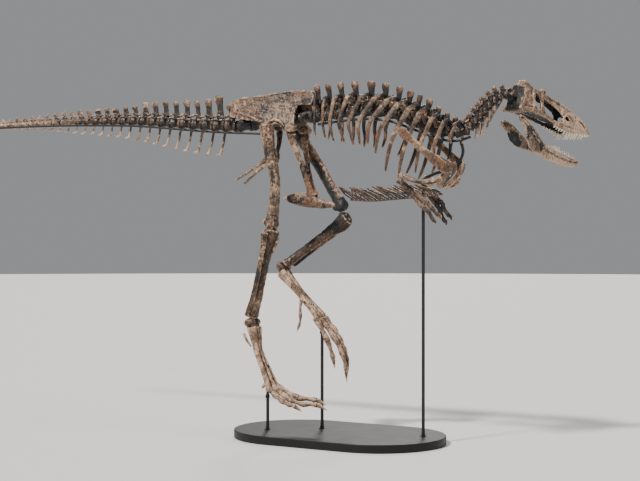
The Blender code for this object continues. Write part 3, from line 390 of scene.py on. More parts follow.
def dorsal_length(index):
    return blend(index, ((0, 0.1), (3, 0.126), (4, 0.122), (7, 0.08), (9, 0.09), (12, 0.118)))


def dorsal_middle(index):
    return sum(dorsal_length(step) for step in range(index)) + dorsal_length(index) / 2


NECK_START = dorsal_middle(DORSALS - 1) + dorsal_length(DORSALS - 1) / 2
SKULL_CLEARANCE = 0.036
CERVICAL_LENGTH = (TRUNK_PATH.length - SKULL_CLEARANCE - NECK_START) / CERVICALS


def trunk_frame(distance):
    return Frame(TRUNK_PATH.at(distance), TRUNK_PATH.direction(distance))


def tail_frame(distance):
    return Frame(TAIL_PATH.at(distance), -TAIL_PATH.direction(distance))


def spool(place, length, radius, waist=0.74):
    """Waisted body of a vertebra, centred on its place."""
    half = length / 2
    shape = ((-1.0, 0.84), (-0.88, 1.0), (-0.7, 0.96), (-0.35, 0.8), (0.0, waist), (0.35, 0.8),
             (0.7, 0.96), (0.88, 1.0), (1.0, 0.84))
    points = [place.point(half * along, 0, 0) for along, _ in shape]
    sizes = [(0.95 * radius * wide, radius * wide) for _, wide in shape]
    limb(points, sizes, place.left, 12, 1, False)


def core(place, length, radius):
    """Solid middle that joins the body of a vertebra to its neighbours."""
    size = (0.6 * radius, 0.6 * radius)
    limb((place.point(-0.5 * length, 0, 0), place.point(0.5 * length, 0, 0)), (size, size), place.left,
         8, 1, False)


def arch(place, length, radius, height):
    """Neural arch between the body and the spine, with its joint prongs."""
    low = place.point(-0.02 * length, 0, 0.55 * radius)
    high = place.point(-0.04 * length, 0, height)
    limb((low, high), ((0.5 * radius, 0.26 * length), (0.26 * radius, 0.2 * length)), place.left, 8, 1)
    for side in SIDES:
        front = (place.point(0.08 * length, side * 0.28 * radius, 0.85 * height),
                 place.point(0.4 * length, side * 0.36 * radius, 0.95 * height),
                 place.point(0.64 * length, side * 0.34 * radius, 1.1 * height))
        limb(front, ((0.15 * radius, 0.2 * radius), (0.13 * radius, 0.16 * radius),
                     (0.1 * radius, 0.15 * radius)), place.left, 6, 1)
        back = (place.point(-0.1 * length, side * 0.2 * radius, 1.0 * height),
                place.point(-0.46 * length, side * 0.26 * radius, 1.12 * height))
        limb(back, ((0.13 * radius, 0.17 * radius), (0.1 * radius, 0.13 * radius)), place.left, 6, 1)


# ---------------------------------------------------------------- tail


def caudal_length(index):
    return blend(index, ((0, 0.118), (CAUDALS - 1, 0.0757)))


def caudal_start(index):
    return sum(caudal_length(step) for step in range(index))


def caudal_radius(index):
    return blend(index, ((0, 0.052), (9, 0.04), (18, 0.027), (27, 0.017), (35, 0.008)))


def caudal_spine_height(index):
    return blend(index, ((0, 0.19), (1, 0.265), (2, 0.225), (7, 0.185), (10, 0.13), (15, 0.11),
                         (21, 0.06), (27, 0.034), (35, 0.014)))


def chevron_depth(index):
    return blend(index, ((1, 0.255), (3, 0.24), (7, 0.185), (10, 0.145), (14, 0.115), (18, 0.075),
                         (24, 0.045), (35, 0.016)))


def caudal(index, chance):
    """Tail vertebra with its spine, wings and the chevron behind it."""
    piece = begin("caudal")
    length = caudal_length(index)
    radius = caudal_radius(index)
    place = tail_frame(caudal_start(index) + length / 2)
    spool(place, 0.92 * length, radius)
    core(place, length, radius)
    arch(place, length, radius, 1.6 * radius)
    height = caudal_spine_height(index)
    thick = max(0.0055, 0.2 * radius)
    if height > 1.6 * radius:
        height *= chance.uniform(0.91, 1.0)
        wide = length * chance.uniform(0.21, 0.31)
        knob = wide * chance.uniform(1.05, 1.5)
        lean = length * chance.uniform(-0.34, -0.24)
        spine = (place.point(-0.05 * length, 0, 1.1 * radius),
                 place.point(-0.16 * length, 0, 0.55 * (height + radius)),
                 place.point(lean, 0, 0.9 * height), place.point(1.1 * lean, 0, height - 0.004))
        limb(spine, ((1.2 * thick, 1.15 * wide), (thick, 0.88 * wide), (1.6 * thick, knob),
                     (1.3 * thick, 0.7 * knob)), place.left, 8, 2)
    if index < 15:
        reach = blend(index, ((0, 0.15), (9, 0.085), (15, 0.045)))
        for side in SIDES:
            wing = (place.point(0, side * 0.6 * radius, 0.75 * radius),
                    place.point(-0.15 * radius, side * 0.6 * reach, 0.85 * radius),
                    place.point(-0.5 * radius, side * reach * 0.97, 0.8 * radius))
            limb(wing, ((0.38 * radius, 0.16 * radius), (0.3 * radius, 0.11 * radius),
                        (0.36 * radius, 0.1 * radius)), place.forward, 8, 1)
    if index < CHEVRON_CAUDALS:
        chevron(index, radius, thick)
    return end(piece)


def chevron(index, radius, thick):
    """Haemal arch: two short arms, a shaft and a boot that points back."""
    place = tail_frame(caudal_start(index + 1))
    depth = chevron_depth(index)
    lean = blend(index, ((1, 0.062), (9, 0.036), (18, 0.02), (35, 0.006)))
    foot = blend(index, ((1, 0.02), (9, 0.024), (18, 0.028), (35, 0.017)))
    shaft = blend(index, ((1, 0.0135), (9, 0.012), (18, 0.0085), (35, 0.0045)))
    fork = place.point(-0.2 * lean, 0, -1.25 * radius)
    for side in SIDES:
        limb((place.point(0, side * 0.35 * radius, -0.8 * radius), fork),
             ((thick, shaft), (thick, shaft)), place.left, 6, 1)
    tip = place.point(-0.75 * lean, 0, -depth + 0.6 * shaft + 0.006)
    limb((fork, fork.lerp(tip, 0.5) + place.forward * 0.1 * lean, tip),
         ((thick, shaft), (thick, 0.85 * shaft), (1.2 * thick, 1.1 * shaft)), place.left, 6, 2)
    heel = place.point(-lean + foot, 0, -depth + 1.5 * shaft + 0.006)
    toe = place.point(-lean - foot, 0, -depth + 0.8 * shaft)
    limb((heel, heel.lerp(toe, 0.5) - place.up * 0.3 * shaft, toe),
         ((1.1 * thick, 0.6 * shaft), (1.3 * thick, 0.95 * shaft), (1.2 * thick, 0.7 * shaft)),
         place.left, 8, 2)


# Share of black filler in each tail vertebra body, from the hips back.
CAUDAL_FILLER = (0.75, 1.0, 0.9, 0.45, 0.85, 0.9, 0.95, 0.55, 0.8, 0.3, 0.2, 0.45, 0.15, 0.4, 0.2, 0.75, 0.35,
                 0.5)
# Mesh size of each length of the tail.
TAIL_VOXELS = (0.0046, 0.004, 0.0032, 0.0026)


def make_tail(number):
    """One of the four lengths of the tail."""
    chance = random.Random(40 + number)
    first = number * CAUDALS_PER_PIECE
    indices = range(first, first + CAUDALS_PER_PIECE)
    patches = []
    for index in indices:
        radius = caudal_radius(index)
        place = tail_frame(caudal_start(index) + caudal_length(index) / 2)
        filler = CAUDAL_FILLER[index] if index < len(CAUDAL_FILLER) else chance.uniform(0.1, 0.5)
        size = (0.36 * caudal_length(index), 2 * radius, 1.7 * radius)
        patches.append((place.point(0, 0, 0.1 * radius), size, 0, filler))
        height = caudal_spine_height(index)
        patches.append((place.point(0, 0, height), 0.1, 1, chance.uniform(0.3, 0.9)))
        if index < 14:
            low = place.point(-0.15 * caudal_length(index), 0, 0.45 * height + 0.7 * radius)
            patches.append((low, (0.05, 0.03, 0.24 * height), 0, chance.uniform(0.4, 1.0)))
        below = place.point(-0.5 * caudal_length(index), 0, -chevron_depth(index) - 0.03)
        patches.append((below, 0.15, 1, 1.7))
    piece = joined([caudal(index, chance) for index in indices])
    piece.name = "bone_tail_%d" % (number + 1)
    grain = (TAIL_VOXELS[number], 1, 0.0035 - 0.0006 * number)
    finish_bone(piece, grain, patches, "brown_bone")


# ---------------------------------------------------------------- trunk


def dorsal_radius(index):
    return blend(index, ((0, 0.048), (7, 0.045), (12, 0.04)))


def dorsal_spine_height(index):
    return blend(index, ((0, 0.262), (3, 0.248), (7, 0.215), (9, 0.205), (10, 0.175), (12, 0.135)))


def dorsal_wing(index):
    """How far a trunk vertebra's wings reach outwards and how high they sit."""
    return blend(index, ((9, 0.085), (12, 0.058))), blend(index, ((9, 0.132), (12, 0.075)))


# (rib, forward, up) of the outermost point and of the tip of the ribs, counted from the hips.
RIB_FLANKS = ((-0.5, -0.185, 2.56), (3.5, 0.165, 2.51), (6.5, 0.462, 2.49), (8.5, 0.65, 2.34),
              (10.5, 0.85, 2.3), (12.5, 1.052, 2.385))
RIB_TIPS = ((-0.5, -0.195, 2.411), (3.5, 0.2, 2.32), (6.5, 0.396, 2.32), (8.5, 0.553, 2.035),
            (10.5, 0.799, 2.111), (11.5, 0.965, 2.29), (12.5, 1.035, 2.34))


def rib_points(index, side, place):
    """Rib path: wing of the vertebra, shoulder, flank, lower flank and tip."""
    breadth = blend(index, ((0, 0.13), (2, 0.19), (5, 0.225), (7, 0.23), (9, 0.205), (12, 0.11)))
    flank, tip = (blend(index, [(rib, Vector((x, 0, z))) for rib, x, z in table])
                  for table in (RIB_FLANKS, RIB_TIPS))
    middle = place.origin.y
    out, rise = dorsal_wing(index)
    wing = place.point(0.005, side * out, rise)
    shoulder = wing.lerp(Vector((flank.x, wing.y, flank.z + 0.05)), 0.22)
    shoulder.y = middle + side * breadth * 0.78
    flank_point = Vector((flank.x, middle + side * breadth, flank.z))
    lower = flank.lerp(tip, 0.55)
    lower_point = Vector((lower.x, middle + side * breadth * 0.96, lower.z))
    tip_point = Vector((tip.x, middle + side * breadth * 0.8, tip.z))
    return (wing, shoulder, flank_point, lower_point, tip_point)


def rib(index, side, chance):
    """Rib with its two heads on the vertebra."""
    piece = begin("rib")
    place = trunk_frame(dorsal_middle(index))
    points = rib_points(index, side, place)
    radius = dorsal_radius(index)
    wide = blend(index, ((0, 0.013), (3, 0.017), (7, 0.021), (9, 0.0195), (12, 0.014)))
    limb((place.point(0.004, side * 0.6 * radius, points[0].z - place.origin.z - 0.01), points[0], points[1]),
         ((0.018, 0.012), (0.021, 0.014), (1.25 * wide, 0.012)), place.forward, 8, 3)
    head = place.point(0.01, side * 0.85 * radius, 0.4 * radius)
    limb((head, head.lerp(points[1], 0.5) + place.up * 0.012, points[1]),
         ((0.014, 0.01), (0.012, 0.009), (1.1 * wide, 0.008)), place.forward, 8, 2)
    sway = Vector((chance.uniform(-0.006, 0.006), 0, 0))
    blade = (points[1], points[2], points[3] + sway, points[4] + sway)
    limb(blade, ((1.2 * wide, 0.012), (wide, 0.01), (0.82 * wide, 0.009), (0.5 * wide, 0.0065)),
         place.forward, 8, 5)
    return end(piece)


DORSAL_SPINE_THICK = 0.0085


def dorsal(index, chance):
    """Trunk vertebra: body, arch, wings to the ribs and a knobbed spine."""
    piece = begin("dorsal")
    length = dorsal_length(index)
    radius = dorsal_radius(index)
    place = trunk_frame(dorsal_middle(index))
    spool(place, 0.93 * length, radius, 0.7)
    core(place, length, radius)
    arch(place, length, radius, 1.7 * radius)
    height = dorsal_spine_height(index)
    wide = blend(index, ((0, 0.027), (4, 0.033), (8, 0.027), (12, 0.021)))
    lean = blend(index, ((0, -0.02), (7, -0.03), (12, -0.03)))
    spine = (place.point(0, 0, 1.5 * radius), place.point(0.5 * lean, 0, 0.6 * height),
             place.point(0.9 * lean, 0, 0.86 * height), place.point(lean, 0, height - 0.008))
    thick = DORSAL_SPINE_THICK
    knob = chance.uniform(0.92, 1.15)
    limb(spine, ((1.3 * thick, 1.02 * wide), (thick, 0.72 * wide), (2.0 * thick, knob * wide),
                 (1.8 * thick, 0.84 * knob * wide)), place.left, 10, 3)
    out, rise = dorsal_wing(index)
    for side in SIDES:
        wing = (place.point(-0.004, side * 0.4 * radius, 0.75 * rise),
                place.point(0.0, side * 0.6 * out, 0.95 * rise), place.point(0.004, side * out, rise))
        limb(wing, ((0.022, 0.012), (0.018, 0.009), (0.02, 0.011)), place.forward, 8, 2)
        strut = (place.point(-0.002, side * 0.7 * radius, 0.5 * radius),
                 place.point(0, side * 0.85 * out, 0.92 * rise))
        limb(strut, ((0.012, 0.006), (0.01, 0.006)), place.forward, 6, 1)
    return end(piece)


# Ribs of the right side that were filled, counted from the hips.
REPAIRED_RIBS = (0, 1, 3, 11)


def make_trunk():
    """Thirteen trunk vertebrae as one piece, and the ribs of each side."""
    chance = random.Random(7)
    patches = []
    for index in range(DORSALS):
        place = trunk_frame(dorsal_middle(index))
        radius = dorsal_radius(index)
        height = dorsal_spine_height(index)
        half = 0.62 * dorsal_length(index)
        patches.append((place.point(0, 0, 0.4 * radius), (half, 0.11, 2.8 * radius), 0, 0.95))
        patches.append((place.point(0, 0, 0.62 * height), (0.05, 0.03, 0.26 * height), 0, 0.8))
        patches.append((place.point(0, 0, height), 0.06, 1, 0.9 if index < 4 else 0.5))
        patches.append((place.point(0, 0, height), 0.05, 2, chance.uniform(0.0, 0.8)))
    spines = joined([dorsal(index, chance) for index in range(DORSALS)])
    spines.name = "bone_trunk"
    finish_bone(spines, (0.0042, 1), patches, "brown_bone", "rib_cage_right", "rib_cage_left")
    for side, word in WORDS.items():
        ribs = joined([rib(index, side, chance) for index in range(DORSALS)])
        ribs.name = "bone_ribs_" + word
        patches = []
        for index in range(DORSALS):
            points = rib_points(index, side, trunk_frame(dorsal_middle(index)))
            patches.append((points[0], 0.1, 0, 0.6))
            patches.append((points[1], 0.12, 1, chance.uniform(0.0, 0.6)))
            patches.append((points[2], 0.12, 1, chance.uniform(0.0, 0.7)))
            patches.append((points[3], 0.1, 2, chance.uniform(0.0, 0.9)))
            if side == LEFT or index in REPAIRED_RIBS:
                patches.append((points[2], 0.14, 0, chance.uniform(0.2, 0.7)))
        finish_bone(ribs, (0.0036, 1, 0.0022), patches, "brown_bone", "rib_cage_" + word)


# ---------------------------------------------------------------- neck


def cervical(index, chance):
    """Neck vertebra with its spine, wings, joints and trailing ribs."""
    piece = begin("cervical")
    place = trunk_frame(NECK_START + (index + 0.5) * CERVICAL_LENGTH)
    radius = blend(index, ((0, 0.041), (8, 0.032)))
    spool(place, 0.92 * CERVICAL_LENGTH, radius, 0.7)
    arch(place, CERVICAL_LENGTH, radius, 1.45 * radius)
    height = blend(index, ((0, 0.082), (3, 0.092), (6, 0.09), (8, 0.062)))
    lean = chance.uniform(-0.014, -0.006)
    limb((place.point(0, 0, 0.9 * radius), place.point(0.5 * lean, 0, 0.75 * height),
          place.point(lean, 0, height - 0.004)),
         ((0.012, 0.026), (0.01, 0.019), (0.014, 0.022)), place.left, 8, 2)
    for side in SIDES:
        limb((place.point(0, side * 0.6 * radius, 0.5 * radius), place.point(-0.01, side * 0.055, 0.02),
              place.point(-0.026, side * 0.06, 0.002)),
             ((0.018, 0.012), (0.015, 0.011), (0.011, 0.009)), place.forward, 8, 2)
        if 0 < index < NECK_SPLIT:
            length = blend(index, ((1, 0.13), (3, 0.19), (6, 0.17))) * chance.uniform(0.85, 1.0)
            limb((place.point(-0.004, side * 0.042, -0.018),
                  place.point(-0.47 * length, side * 0.05, -0.022 - 0.25 * length),
                  place.point(-0.88 * length, side * 0.044, -0.022 - 0.47 * length)),
                 ((0.011, 0.009), (0.007, 0.006), (0.0045, 0.004)), place.forward, 6, 3)
    return end(piece)


def make_neck():
    """Seven neck vertebrae as one piece, and the two behind the skull as another."""
    chance = random.Random(11)
    for name, first, last, filler, slot, carried in (
            ("bone_neck", 0, NECK_SPLIT, 0.62, "brown_bone", "neck"),
            ("bone_first_vertebrae", NECK_SPLIT, CERVICALS, 1.0, "dark_infill", "atlas_axis")):
        piece = joined([cervical(index, chance) for index in range(first, last)])
        piece.name = name
        patches = []
        for index in range(first, last):
            place = trunk_frame(NECK_START + (index + 0.5) * CERVICAL_LENGTH)
            patches.append((place.origin, 0.07, 0, filler))
            if index < NECK_SPLIT:
                patches.append((place.point(0, 0, 0.1), 0.06, 0, -0.9))
                patches.append((place.point(0, 0, 0.1), 0.06, 1, chance.uniform(0.0, 0.5)))
                for side in SIDES:
                    patches.append((place.point(-0.02, side * 0.065, -0.01), 0.03, 0, -0.9))
                    low = place.point(-0.1, side * 0.06, -0.07)
                    patches.append((low, 0.06, 1, chance.uniform(0.2, 0.8)))
            else:
                patches.append((place.point(0, -0.04, 0.0), 0.014, 0, -0.9))
        finish_bone(piece, (0.0034, 1, 0.0024), patches, slot, carried)


# ---------------------------------------------------------------- hips
ILIUM_OUTLINE = (
    (-0.985, 2.61), (-1.0, 2.68), (-0.985, 2.752), (-0.84, 2.764), (-0.69, 2.773), (-0.51, 2.79),
    (-0.37, 2.795), (-0.25, 2.785), (-0.205, 2.745), (-0.225, 2.67), (-0.31, 2.678), (-0.355, 2.64),
    (-0.35, 2.53), (-0.322, 2.47), (-0.42, 2.455), (-0.478, 2.512), (-0.545, 2.526), (-0.605, 2.495),
    (-0.655, 2.5), (-0.7, 2.556), (-0.83, 2.573),
)


def ilium_inner(height):
    return blend(height, ((2.45, 0.105), (2.56, 0.08), (2.68, 0.04), (2.8, 0.016)))


def ilium_thick(height):
    return blend(height, ((2.45, 0.05), (2.56, 0.03), (2.68, 0.02), (2.8, 0.016)))


def ilium_face(x, z, side, lift=0.0):
    """Point on the outer face of the hip blade, or lifted off it."""
    return Vector((x, side * (ilium_inner(z) + ilium_thick(z) + lift), z))


def make_sacrum():
    """Five fused vertebrae between the hip blades."""
    piece = begin("bone_sacrum")
    length = SACRUM_PATH.length / SACRALS
    for index in range(SACRALS):
        middle = (index + 0.5) * length
        place = Frame(SACRUM_PATH.at(middle), SACRUM_PATH.direction(middle))
        spool(place, 0.94 * length, 0.054, 0.72)
        limb((place.point(0, 0, 0.03), place.point(-0.005, 0, 0.11), place.point(-0.01, 0, 0.186)),
             ((0.014, 0.052), (0.009, 0.056), (0.009, 0.06)), place.left, 8, 2)
        for side in SIDES:
            limb((place.point(0, side * 0.03, 0.02), place.point(0, side * 0.078, 0.022)),
                 ((0.03, 0.014), (0.036, 0.016)), place.forward, 8, 1)
    patches = (((-0.58, 0, 2.56), (0.9, 0.5, 0.5), 0, 0.5), ((-0.85, 0, 2.56), 0.22, 0, 0.9),
               ((-0.24, 0, 2.56), 0.12, 1, 0.4), ((-0.24, 0, 2.66), 0.14, 2, 0.5))
    finish_bone(piece, (0.0048, 1), patches, "dark_infill")


def make_ilium(side):
    """Hip blade with a rolled rim, a socket rim, a central ridge and a rear shelf."""
    piece = begin("bone_ilium_" + WORDS[side])
    outline = flow(tuple((x, 0, z) for x, z in ILIUM_OUTLINE) + ((-0.985, 0, 2.61),), 2)[:-1]
    plate([(p.x, side * ilium_inner(p.z), p.z) for p in outline],
          [(p.x, side * (ilium_inner(p.z) + 0.7 * ilium_thick(p.z)), p.z) for p in outline])
    rim = [ilium_face(x, z, side, -0.01) for x, z in ((-0.975, 2.735), (-0.84, 2.752), (-0.69, 2.762),
                                                       (-0.51, 2.779), (-0.37, 2.783), (-0.235, 2.765))]
    limb(rim, [(0.007, 0.011)] * 6, SIDE, 8, 3)
    socket = [ilium_face(x, z, side, -0.006) for x, z in ((-0.625, 2.505), (-0.59, 2.54), (-0.545, 2.556),
                                                          (-0.49, 2.548), (-0.445, 2.515), (-0.405, 2.475))]
    limb(socket, [(0.012, 0.012)] * 6, SIDE, 8, 3)
    ridge = [ilium_face(x, z, side, -0.008) for x, z in ((-0.535, 2.57), (-0.525, 2.66), (-0.5, 2.75))]
    limb(ridge, ((0.01, 0.026), (0.008, 0.018), (0.005, 0.012)), SIDE, 8, 3)
    shelf = [ilium_face(x, z, side, -0.008) for x, z in ((-0.66, 2.545), (-0.78, 2.598), (-0.95, 2.64))]
    limb(shelf, ((0.008, 0.012), (0.01, 0.012), (0.008, 0.014)), SIDE, 8, 3)
    for x, z, wide, high in ((-0.63, 2.512, 0.04, 0.028), (-0.375, 2.482, 0.052, 0.036)):
        inner = side * ilium_inner(z)
        limb(((x, inner, z), (x, inner + side * ilium_thick(z) * 0.9, z)), ((wide, high), (wide, high)),
             (1, 0, 0), 10, 1)
    patches = [(ilium_face(-0.63, 2.66, side), (0.13, 0.3, 0.13), 0, 0.46),
               (ilium_face(-0.4, 2.64, side), (0.16, 0.3, 0.14), 0, 0.36),
               (ilium_face(-0.27, 2.7, side), (0.07, 0.3, 0.04), 0, 0.8),
               (ilium_face(-0.44, 2.77, side), (0.03, 0.3, 0.03), 0, 0.9),
               (ilium_face(-0.85, 2.69, side), 0.24, 2, 0.85), (ilium_face(-0.3, 2.78, side), 0.13, 2, 0.9),
               (ilium_face(-0.5, 2.62, side), 0.22, 1, 0.55), (ilium_face(-0.36, 2.5, side), 0.12, 1, 0.5),
               (ilium_face(-0.95, 2.7, side), 0.09, 1, 0.4)]
    finish_bone(piece, (0.0042, 1, 0.0075), patches, "brown_bone")


def make_pubis(side):
    """Half of the boot, the shaft to the hip socket and the thin apron between the shafts."""
    piece = begin("bone_pubis_" + WORDS[side])
    boot = ((-0.514, 1.93, 0.006), (-0.43, 1.921, 0.024), (-0.34, 1.915, 0.034), (-0.262, 1.902, 0.036),
            (-0.19, 1.884, 0.032), (-0.11, 1.868, 0.024), (-0.036, 1.864, 0.009))
    high = (0.007, 0.038, 0.056, 0.056, 0.044, 0.032, 0.011)
    limb([(x, side * (0.45 * wide + 0.004), z) for x, z, wide in boot],
         [(0.62 * wide, tall) for (_, _, wide), tall in zip(boot, high)], SIDE, 12, 3)
    shaft = ((-0.235, side * 0.02, 1.94), (-0.255, side * 0.024, 2.0), (-0.29, side * 0.036, 2.11),
             (-0.335, side * 0.066, 2.27), (-0.372, side * 0.1, 2.4), (-0.372, side * 0.116, 2.44))
    limb(shaft, ((0.018, 0.05), (0.015, 0.03), (0.014, 0.024), (0.014, 0.024), (0.018, 0.034),
                 (0.021, 0.048)), SIDE, 10, 3)
    apron = ((-0.24, side * 0.01, 1.98), (-0.285, side * 0.016, 2.12), (-0.318, side * 0.03, 2.22))
    limb(apron, ((0.009, 0.012), (0.01, 0.01), (0.016, 0.008)), SIDE, 8, 2)
    patches = [((-0.4, 0, 1.9), (0.2, 0.2, 0.12), 0, 0.52), ((-0.3, 0, 2.14), (0.05, 0.2, 0.16), 0, 0.5),
               ((-0.12, 0, 1.86), (0.1, 0.2, 0.05), 0, 0.45), ((-0.44, 0, 1.92), 0.16, 1, 0.9),
               ((-0.34, 0, 2.3), 0.2, 1, 0.6), ((-0.24, 0, 2.0), 0.2, 2, 0.9),
               ((-0.16, 0, 1.88), 0.12, 2, 0.7)]
    finish_bone(piece, (0.0042, 2, 0.004), patches, "pale_bone")


# How much lower the left rod ends than the right one.
LEFT_ISCHIUM_DROP = 0.035


def make_ischium(side):
    """Rod of the hip that points back, with the flange below its neck."""
    drop = 0.0 if side == RIGHT else LEFT_ISCHIUM_DROP
    piece = begin("bone_ischium_" + WORDS[side])
    points = ((-0.628, side * 0.125, 2.482), (-0.612, side * 0.085, 2.37), (-0.64, side * 0.052, 2.262),
              (-0.77, side * 0.026, 2.185 - 0.6 * drop), (-0.965 + 1.6 * drop, side * 0.018, 2.087 - drop))
    limb(points, ((0.02, 0.032), (0.015, 0.02), (0.012, 0.024), (0.01, 0.015), (0.008, 0.01)),
         SIDE, 10, 4)
    flange = ((-0.6, side * 0.06, 2.3), (-0.62, side * 0.05, 2.235), (-0.69, side * 0.036, 2.2))
    limb(flange, ((0.008, 0.018), (0.009, 0.03), (0.008, 0.014)), SIDE, 8, 3)
    patches = (((-0.62, 0, 2.42), 0.09, 0, 0.5), ((-0.72, 0, 2.18), 0.2, 1, 0.7))
    finish_bone(piece, (0.0036, 1, 0.003), patches, "pale_bone")


# ---------------------------------------------------------------- legs
RIGHT_FEMUR = (
    (-0.548, -0.196, 2.512), (-0.543, -0.196, 2.44), (-0.52, -0.198, 2.3), (-0.478, -0.2, 2.13),
    (-0.468, -0.2, 1.95), (-0.488, -0.2, 1.79), (-0.497, -0.2, 1.715), (-0.5, -0.2, 1.69),
)
LEFT_FEMUR = (
    (-0.505, 0.176, 2.506), (-0.47, 0.18, 2.445), (-0.385, 0.182, 2.33), (-0.27, 0.186, 2.17),
    (-0.18, 0.19, 2.02), (-0.105, 0.194, 1.91), (-0.078, 0.196, 1.862), (-0.068, 0.197, 1.844),
)
RIGHT_TIBIA = (
    (-0.504, -0.195, 1.66), (-0.51, -0.195, 1.62), (-0.54, -0.194, 1.52), (-0.582, -0.192, 1.35),
    (-0.632, -0.19, 1.13), (-0.668, -0.19, 1.015), (-0.684, -0.19, 0.966),
)
LEFT_TIBIA = (
    (-0.028, 0.2, 1.766), (-0.062, 0.199, 1.742), (-0.142, 0.196, 1.688), (-0.284, 0.188, 1.594),
    (-0.434, 0.178, 1.492), (-0.54, 0.168, 1.42), (-0.582, 0.163, 1.392),
)
RIGHT_FIBULA = (
    (-0.528, -0.264, 1.64), (-0.538, -0.262, 1.56), (-0.584, -0.258, 1.36), (-0.644, -0.258, 1.14),
    (-0.7, -0.258, 0.976),
)
LEFT_FIBULA = (
    (-0.098, 0.264, 1.7), (-0.16, 0.262, 1.655), (-0.3, 0.252, 1.556), (-0.44, 0.242, 1.46),
    (-0.56, 0.234, 1.384),
)
RIGHT_ANKLE = ((-0.692, -0.196, 0.942), (-0.68, -0.196, 0.886))
LEFT_ANKLE = ((-0.596, 0.164, 1.382), (-0.64, 0.157, 1.348))
FEMUR_SIZES = ((0.042, 0.056), (0.043, 0.058), (0.038, 0.05), (0.036, 0.045), (0.035, 0.044),
               (0.044, 0.05), (0.053, 0.057), (0.049, 0.052))
TIBIA_SIZES = ((0.048, 0.064), (0.05, 0.066), (0.038, 0.048), (0.032, 0.037), (0.033, 0.035),
               (0.048, 0.036), (0.055, 0.038))
FIBULA_SIZES = ((0.013, 0.038), (0.012, 0.028), (0.01, 0.02), (0.01, 0.018), (0.013, 0.024))


def make_femur(side, points, slot, patches):
    """Thigh bone: shaft, head, two trochanters, a muscle ridge and two condyles."""
    piece = begin("bone_femur_" + WORDS[side])
    limb(points, FEMUR_SIZES, SIDE, 14, 3)
    top = Shaft(points, 0.03, side)
    limb((top.point(0.03, -0.01, 0.004), top.point(0.026, -0.036, 0.004), top.point(0.024, -0.05, 0.006)),
         ((0.034, 0.034), (0.036, 0.036), (0.03, 0.032)), top.along, 12, 2)
    limb((top.point(0.055, 0.03, 0.02), top.point(0.012, 0.03, 0.034)),
         ((0.012, 0.018), (0.01, 0.014)), SIDE, 8, 2)
    ridge = Shaft(points, 0.34, side)
    limb((ridge.point(-0.05, -0.016, -0.03), ridge.point(0, -0.02, -0.042),
          ridge.point(0.06, -0.014, -0.028)), ((0.01, 0.012), (0.009, 0.012), (0.009, 0.01)), SIDE, 8, 2)
    knee = Shaft(points, 0.955, side)
    for out in (-0.026, 0.027):
        limb((knee.point(-0.004, out, -0.056), knee.point(0.012, out, -0.014), knee.point(0.006, out, 0.036)),
             ((0.021, 0.026), (0.023, 0.034), (0.018, 0.026)), SIDE, 10, 2)
    finish_bone(piece, (0.0046, 2, 0.005), patches, slot)


def make_tibia(side, points, slot, patches):
    """Shin bone with its crest, the two knee faces, the fibular ridge and the broad lower end."""
    piece = begin("bone_tibia_" + WORDS[side])
    limb(points, TIBIA_SIZES, SIDE, 14, 3)
    top = Shaft(points, 0.04, side)
    limb((top.point(-0.006, 0, 0.04), top.point(0.04, 0, 0.062), top.point(0.15, 0.002, 0.034)),
         ((0.014, 0.026), (0.013, 0.02), (0.012, 0.014)), SIDE, 8, 3)
    for out in (-0.026, 0.026):
        limb((top.point(-0.006, out, -0.056), top.point(-0.01, out, 0.018)),
             ((0.021, 0.024), (0.021, 0.026)), SIDE, 10, 2)
    ridge = Shaft(points, 0.26, side)
    limb((ridge.point(-0.05, 0.03, 0.004), ridge.point(0.07, 0.03, 0.002)),
         ((0.008, 0.01), (0.008, 0.008)), SIDE, 8, 2)
    finish_bone(piece, (0.0046, 2, 0.005), patches, slot)


def make_fibula(side, points, patches):
    """Thin bone along the outside of the shin."""
    piece = begin("bone_fibula_" + WORDS[side])
    limb(points, FIBULA_SIZES, SIDE, 10, 4)
    finish_bone(piece, (0.0036, 1, 0.003), patches, "brown_bone")


def make_ankle(side, points, filler):
    """Ankle rollers with a tongue rising up the front of the shin."""
    piece = begin("bone_ankle_" + WORDS[side])
    first, last = (Vector(point) for point in points)
    place = Shaft(points, 0.35, side)
    for out in (-1, 1):
        limb((place.point(0, 0, 0), place.point(0, out * 0.036, 0), place.point(0, out * 0.066, 0)),
             ((0.029, 0.038), (0.036, 0.048), (0.029, 0.038)), place.along, 12, 2)
    low = Shaft(points, 0.95, side)
    for out in (-0.036, 0.0, 0.036):
        limb((low.point(-0.006, out, -0.024), low.point(-0.006, out, 0.028)),
             ((0.022, 0.018), (0.021, 0.017)), SIDE, 8, 2)
    patches = ((first, 0.09, 0, filler), (last, 0.07, 1, 0.5))
    finish_bone(piece, (0.0042, 1, 0.0035), patches, "brown_bone")


RIGHT_FEMUR_PATCHES = (
    ((-0.535, -0.2, 2.27), (0.035, 0.2, 0.09), 0, 0.75), ((-0.475, -0.2, 2.1), (0.03, 0.2, 0.16), 0, 0.6),
    ((-0.545, -0.25, 2.42), 0.12, 2, 0.9), ((-0.545, -0.25, 2.42), 0.1, 1, 0.4),
    ((-0.47, -0.25, 1.98), 0.25, 1, 0.6), ((-0.49, -0.2, 1.76), 0.12, 0, 0.42),
    ((-0.51, -0.25, 2.2), 0.1, 1, 0.8), ((-0.46, -0.2, 1.92), (0.03, 0.2, 0.12), 0, 0.5),
)
RIGHT_TIBIA_PATCHES = (
    ((-0.5, -0.24, 1.64), (0.03, 0.2, 0.03), 0, 0.8), ((-0.52, -0.24, 1.58), 0.12, 2, 0.5),
    ((-0.6, -0.18, 1.28), (0.02, 0.05, 0.16), 0, 0.6), ((-0.65, -0.24, 1.08), 0.12, 1, 0.7),
    ((-0.69, -0.2, 1.0), 0.06, 0, 0.5),
)
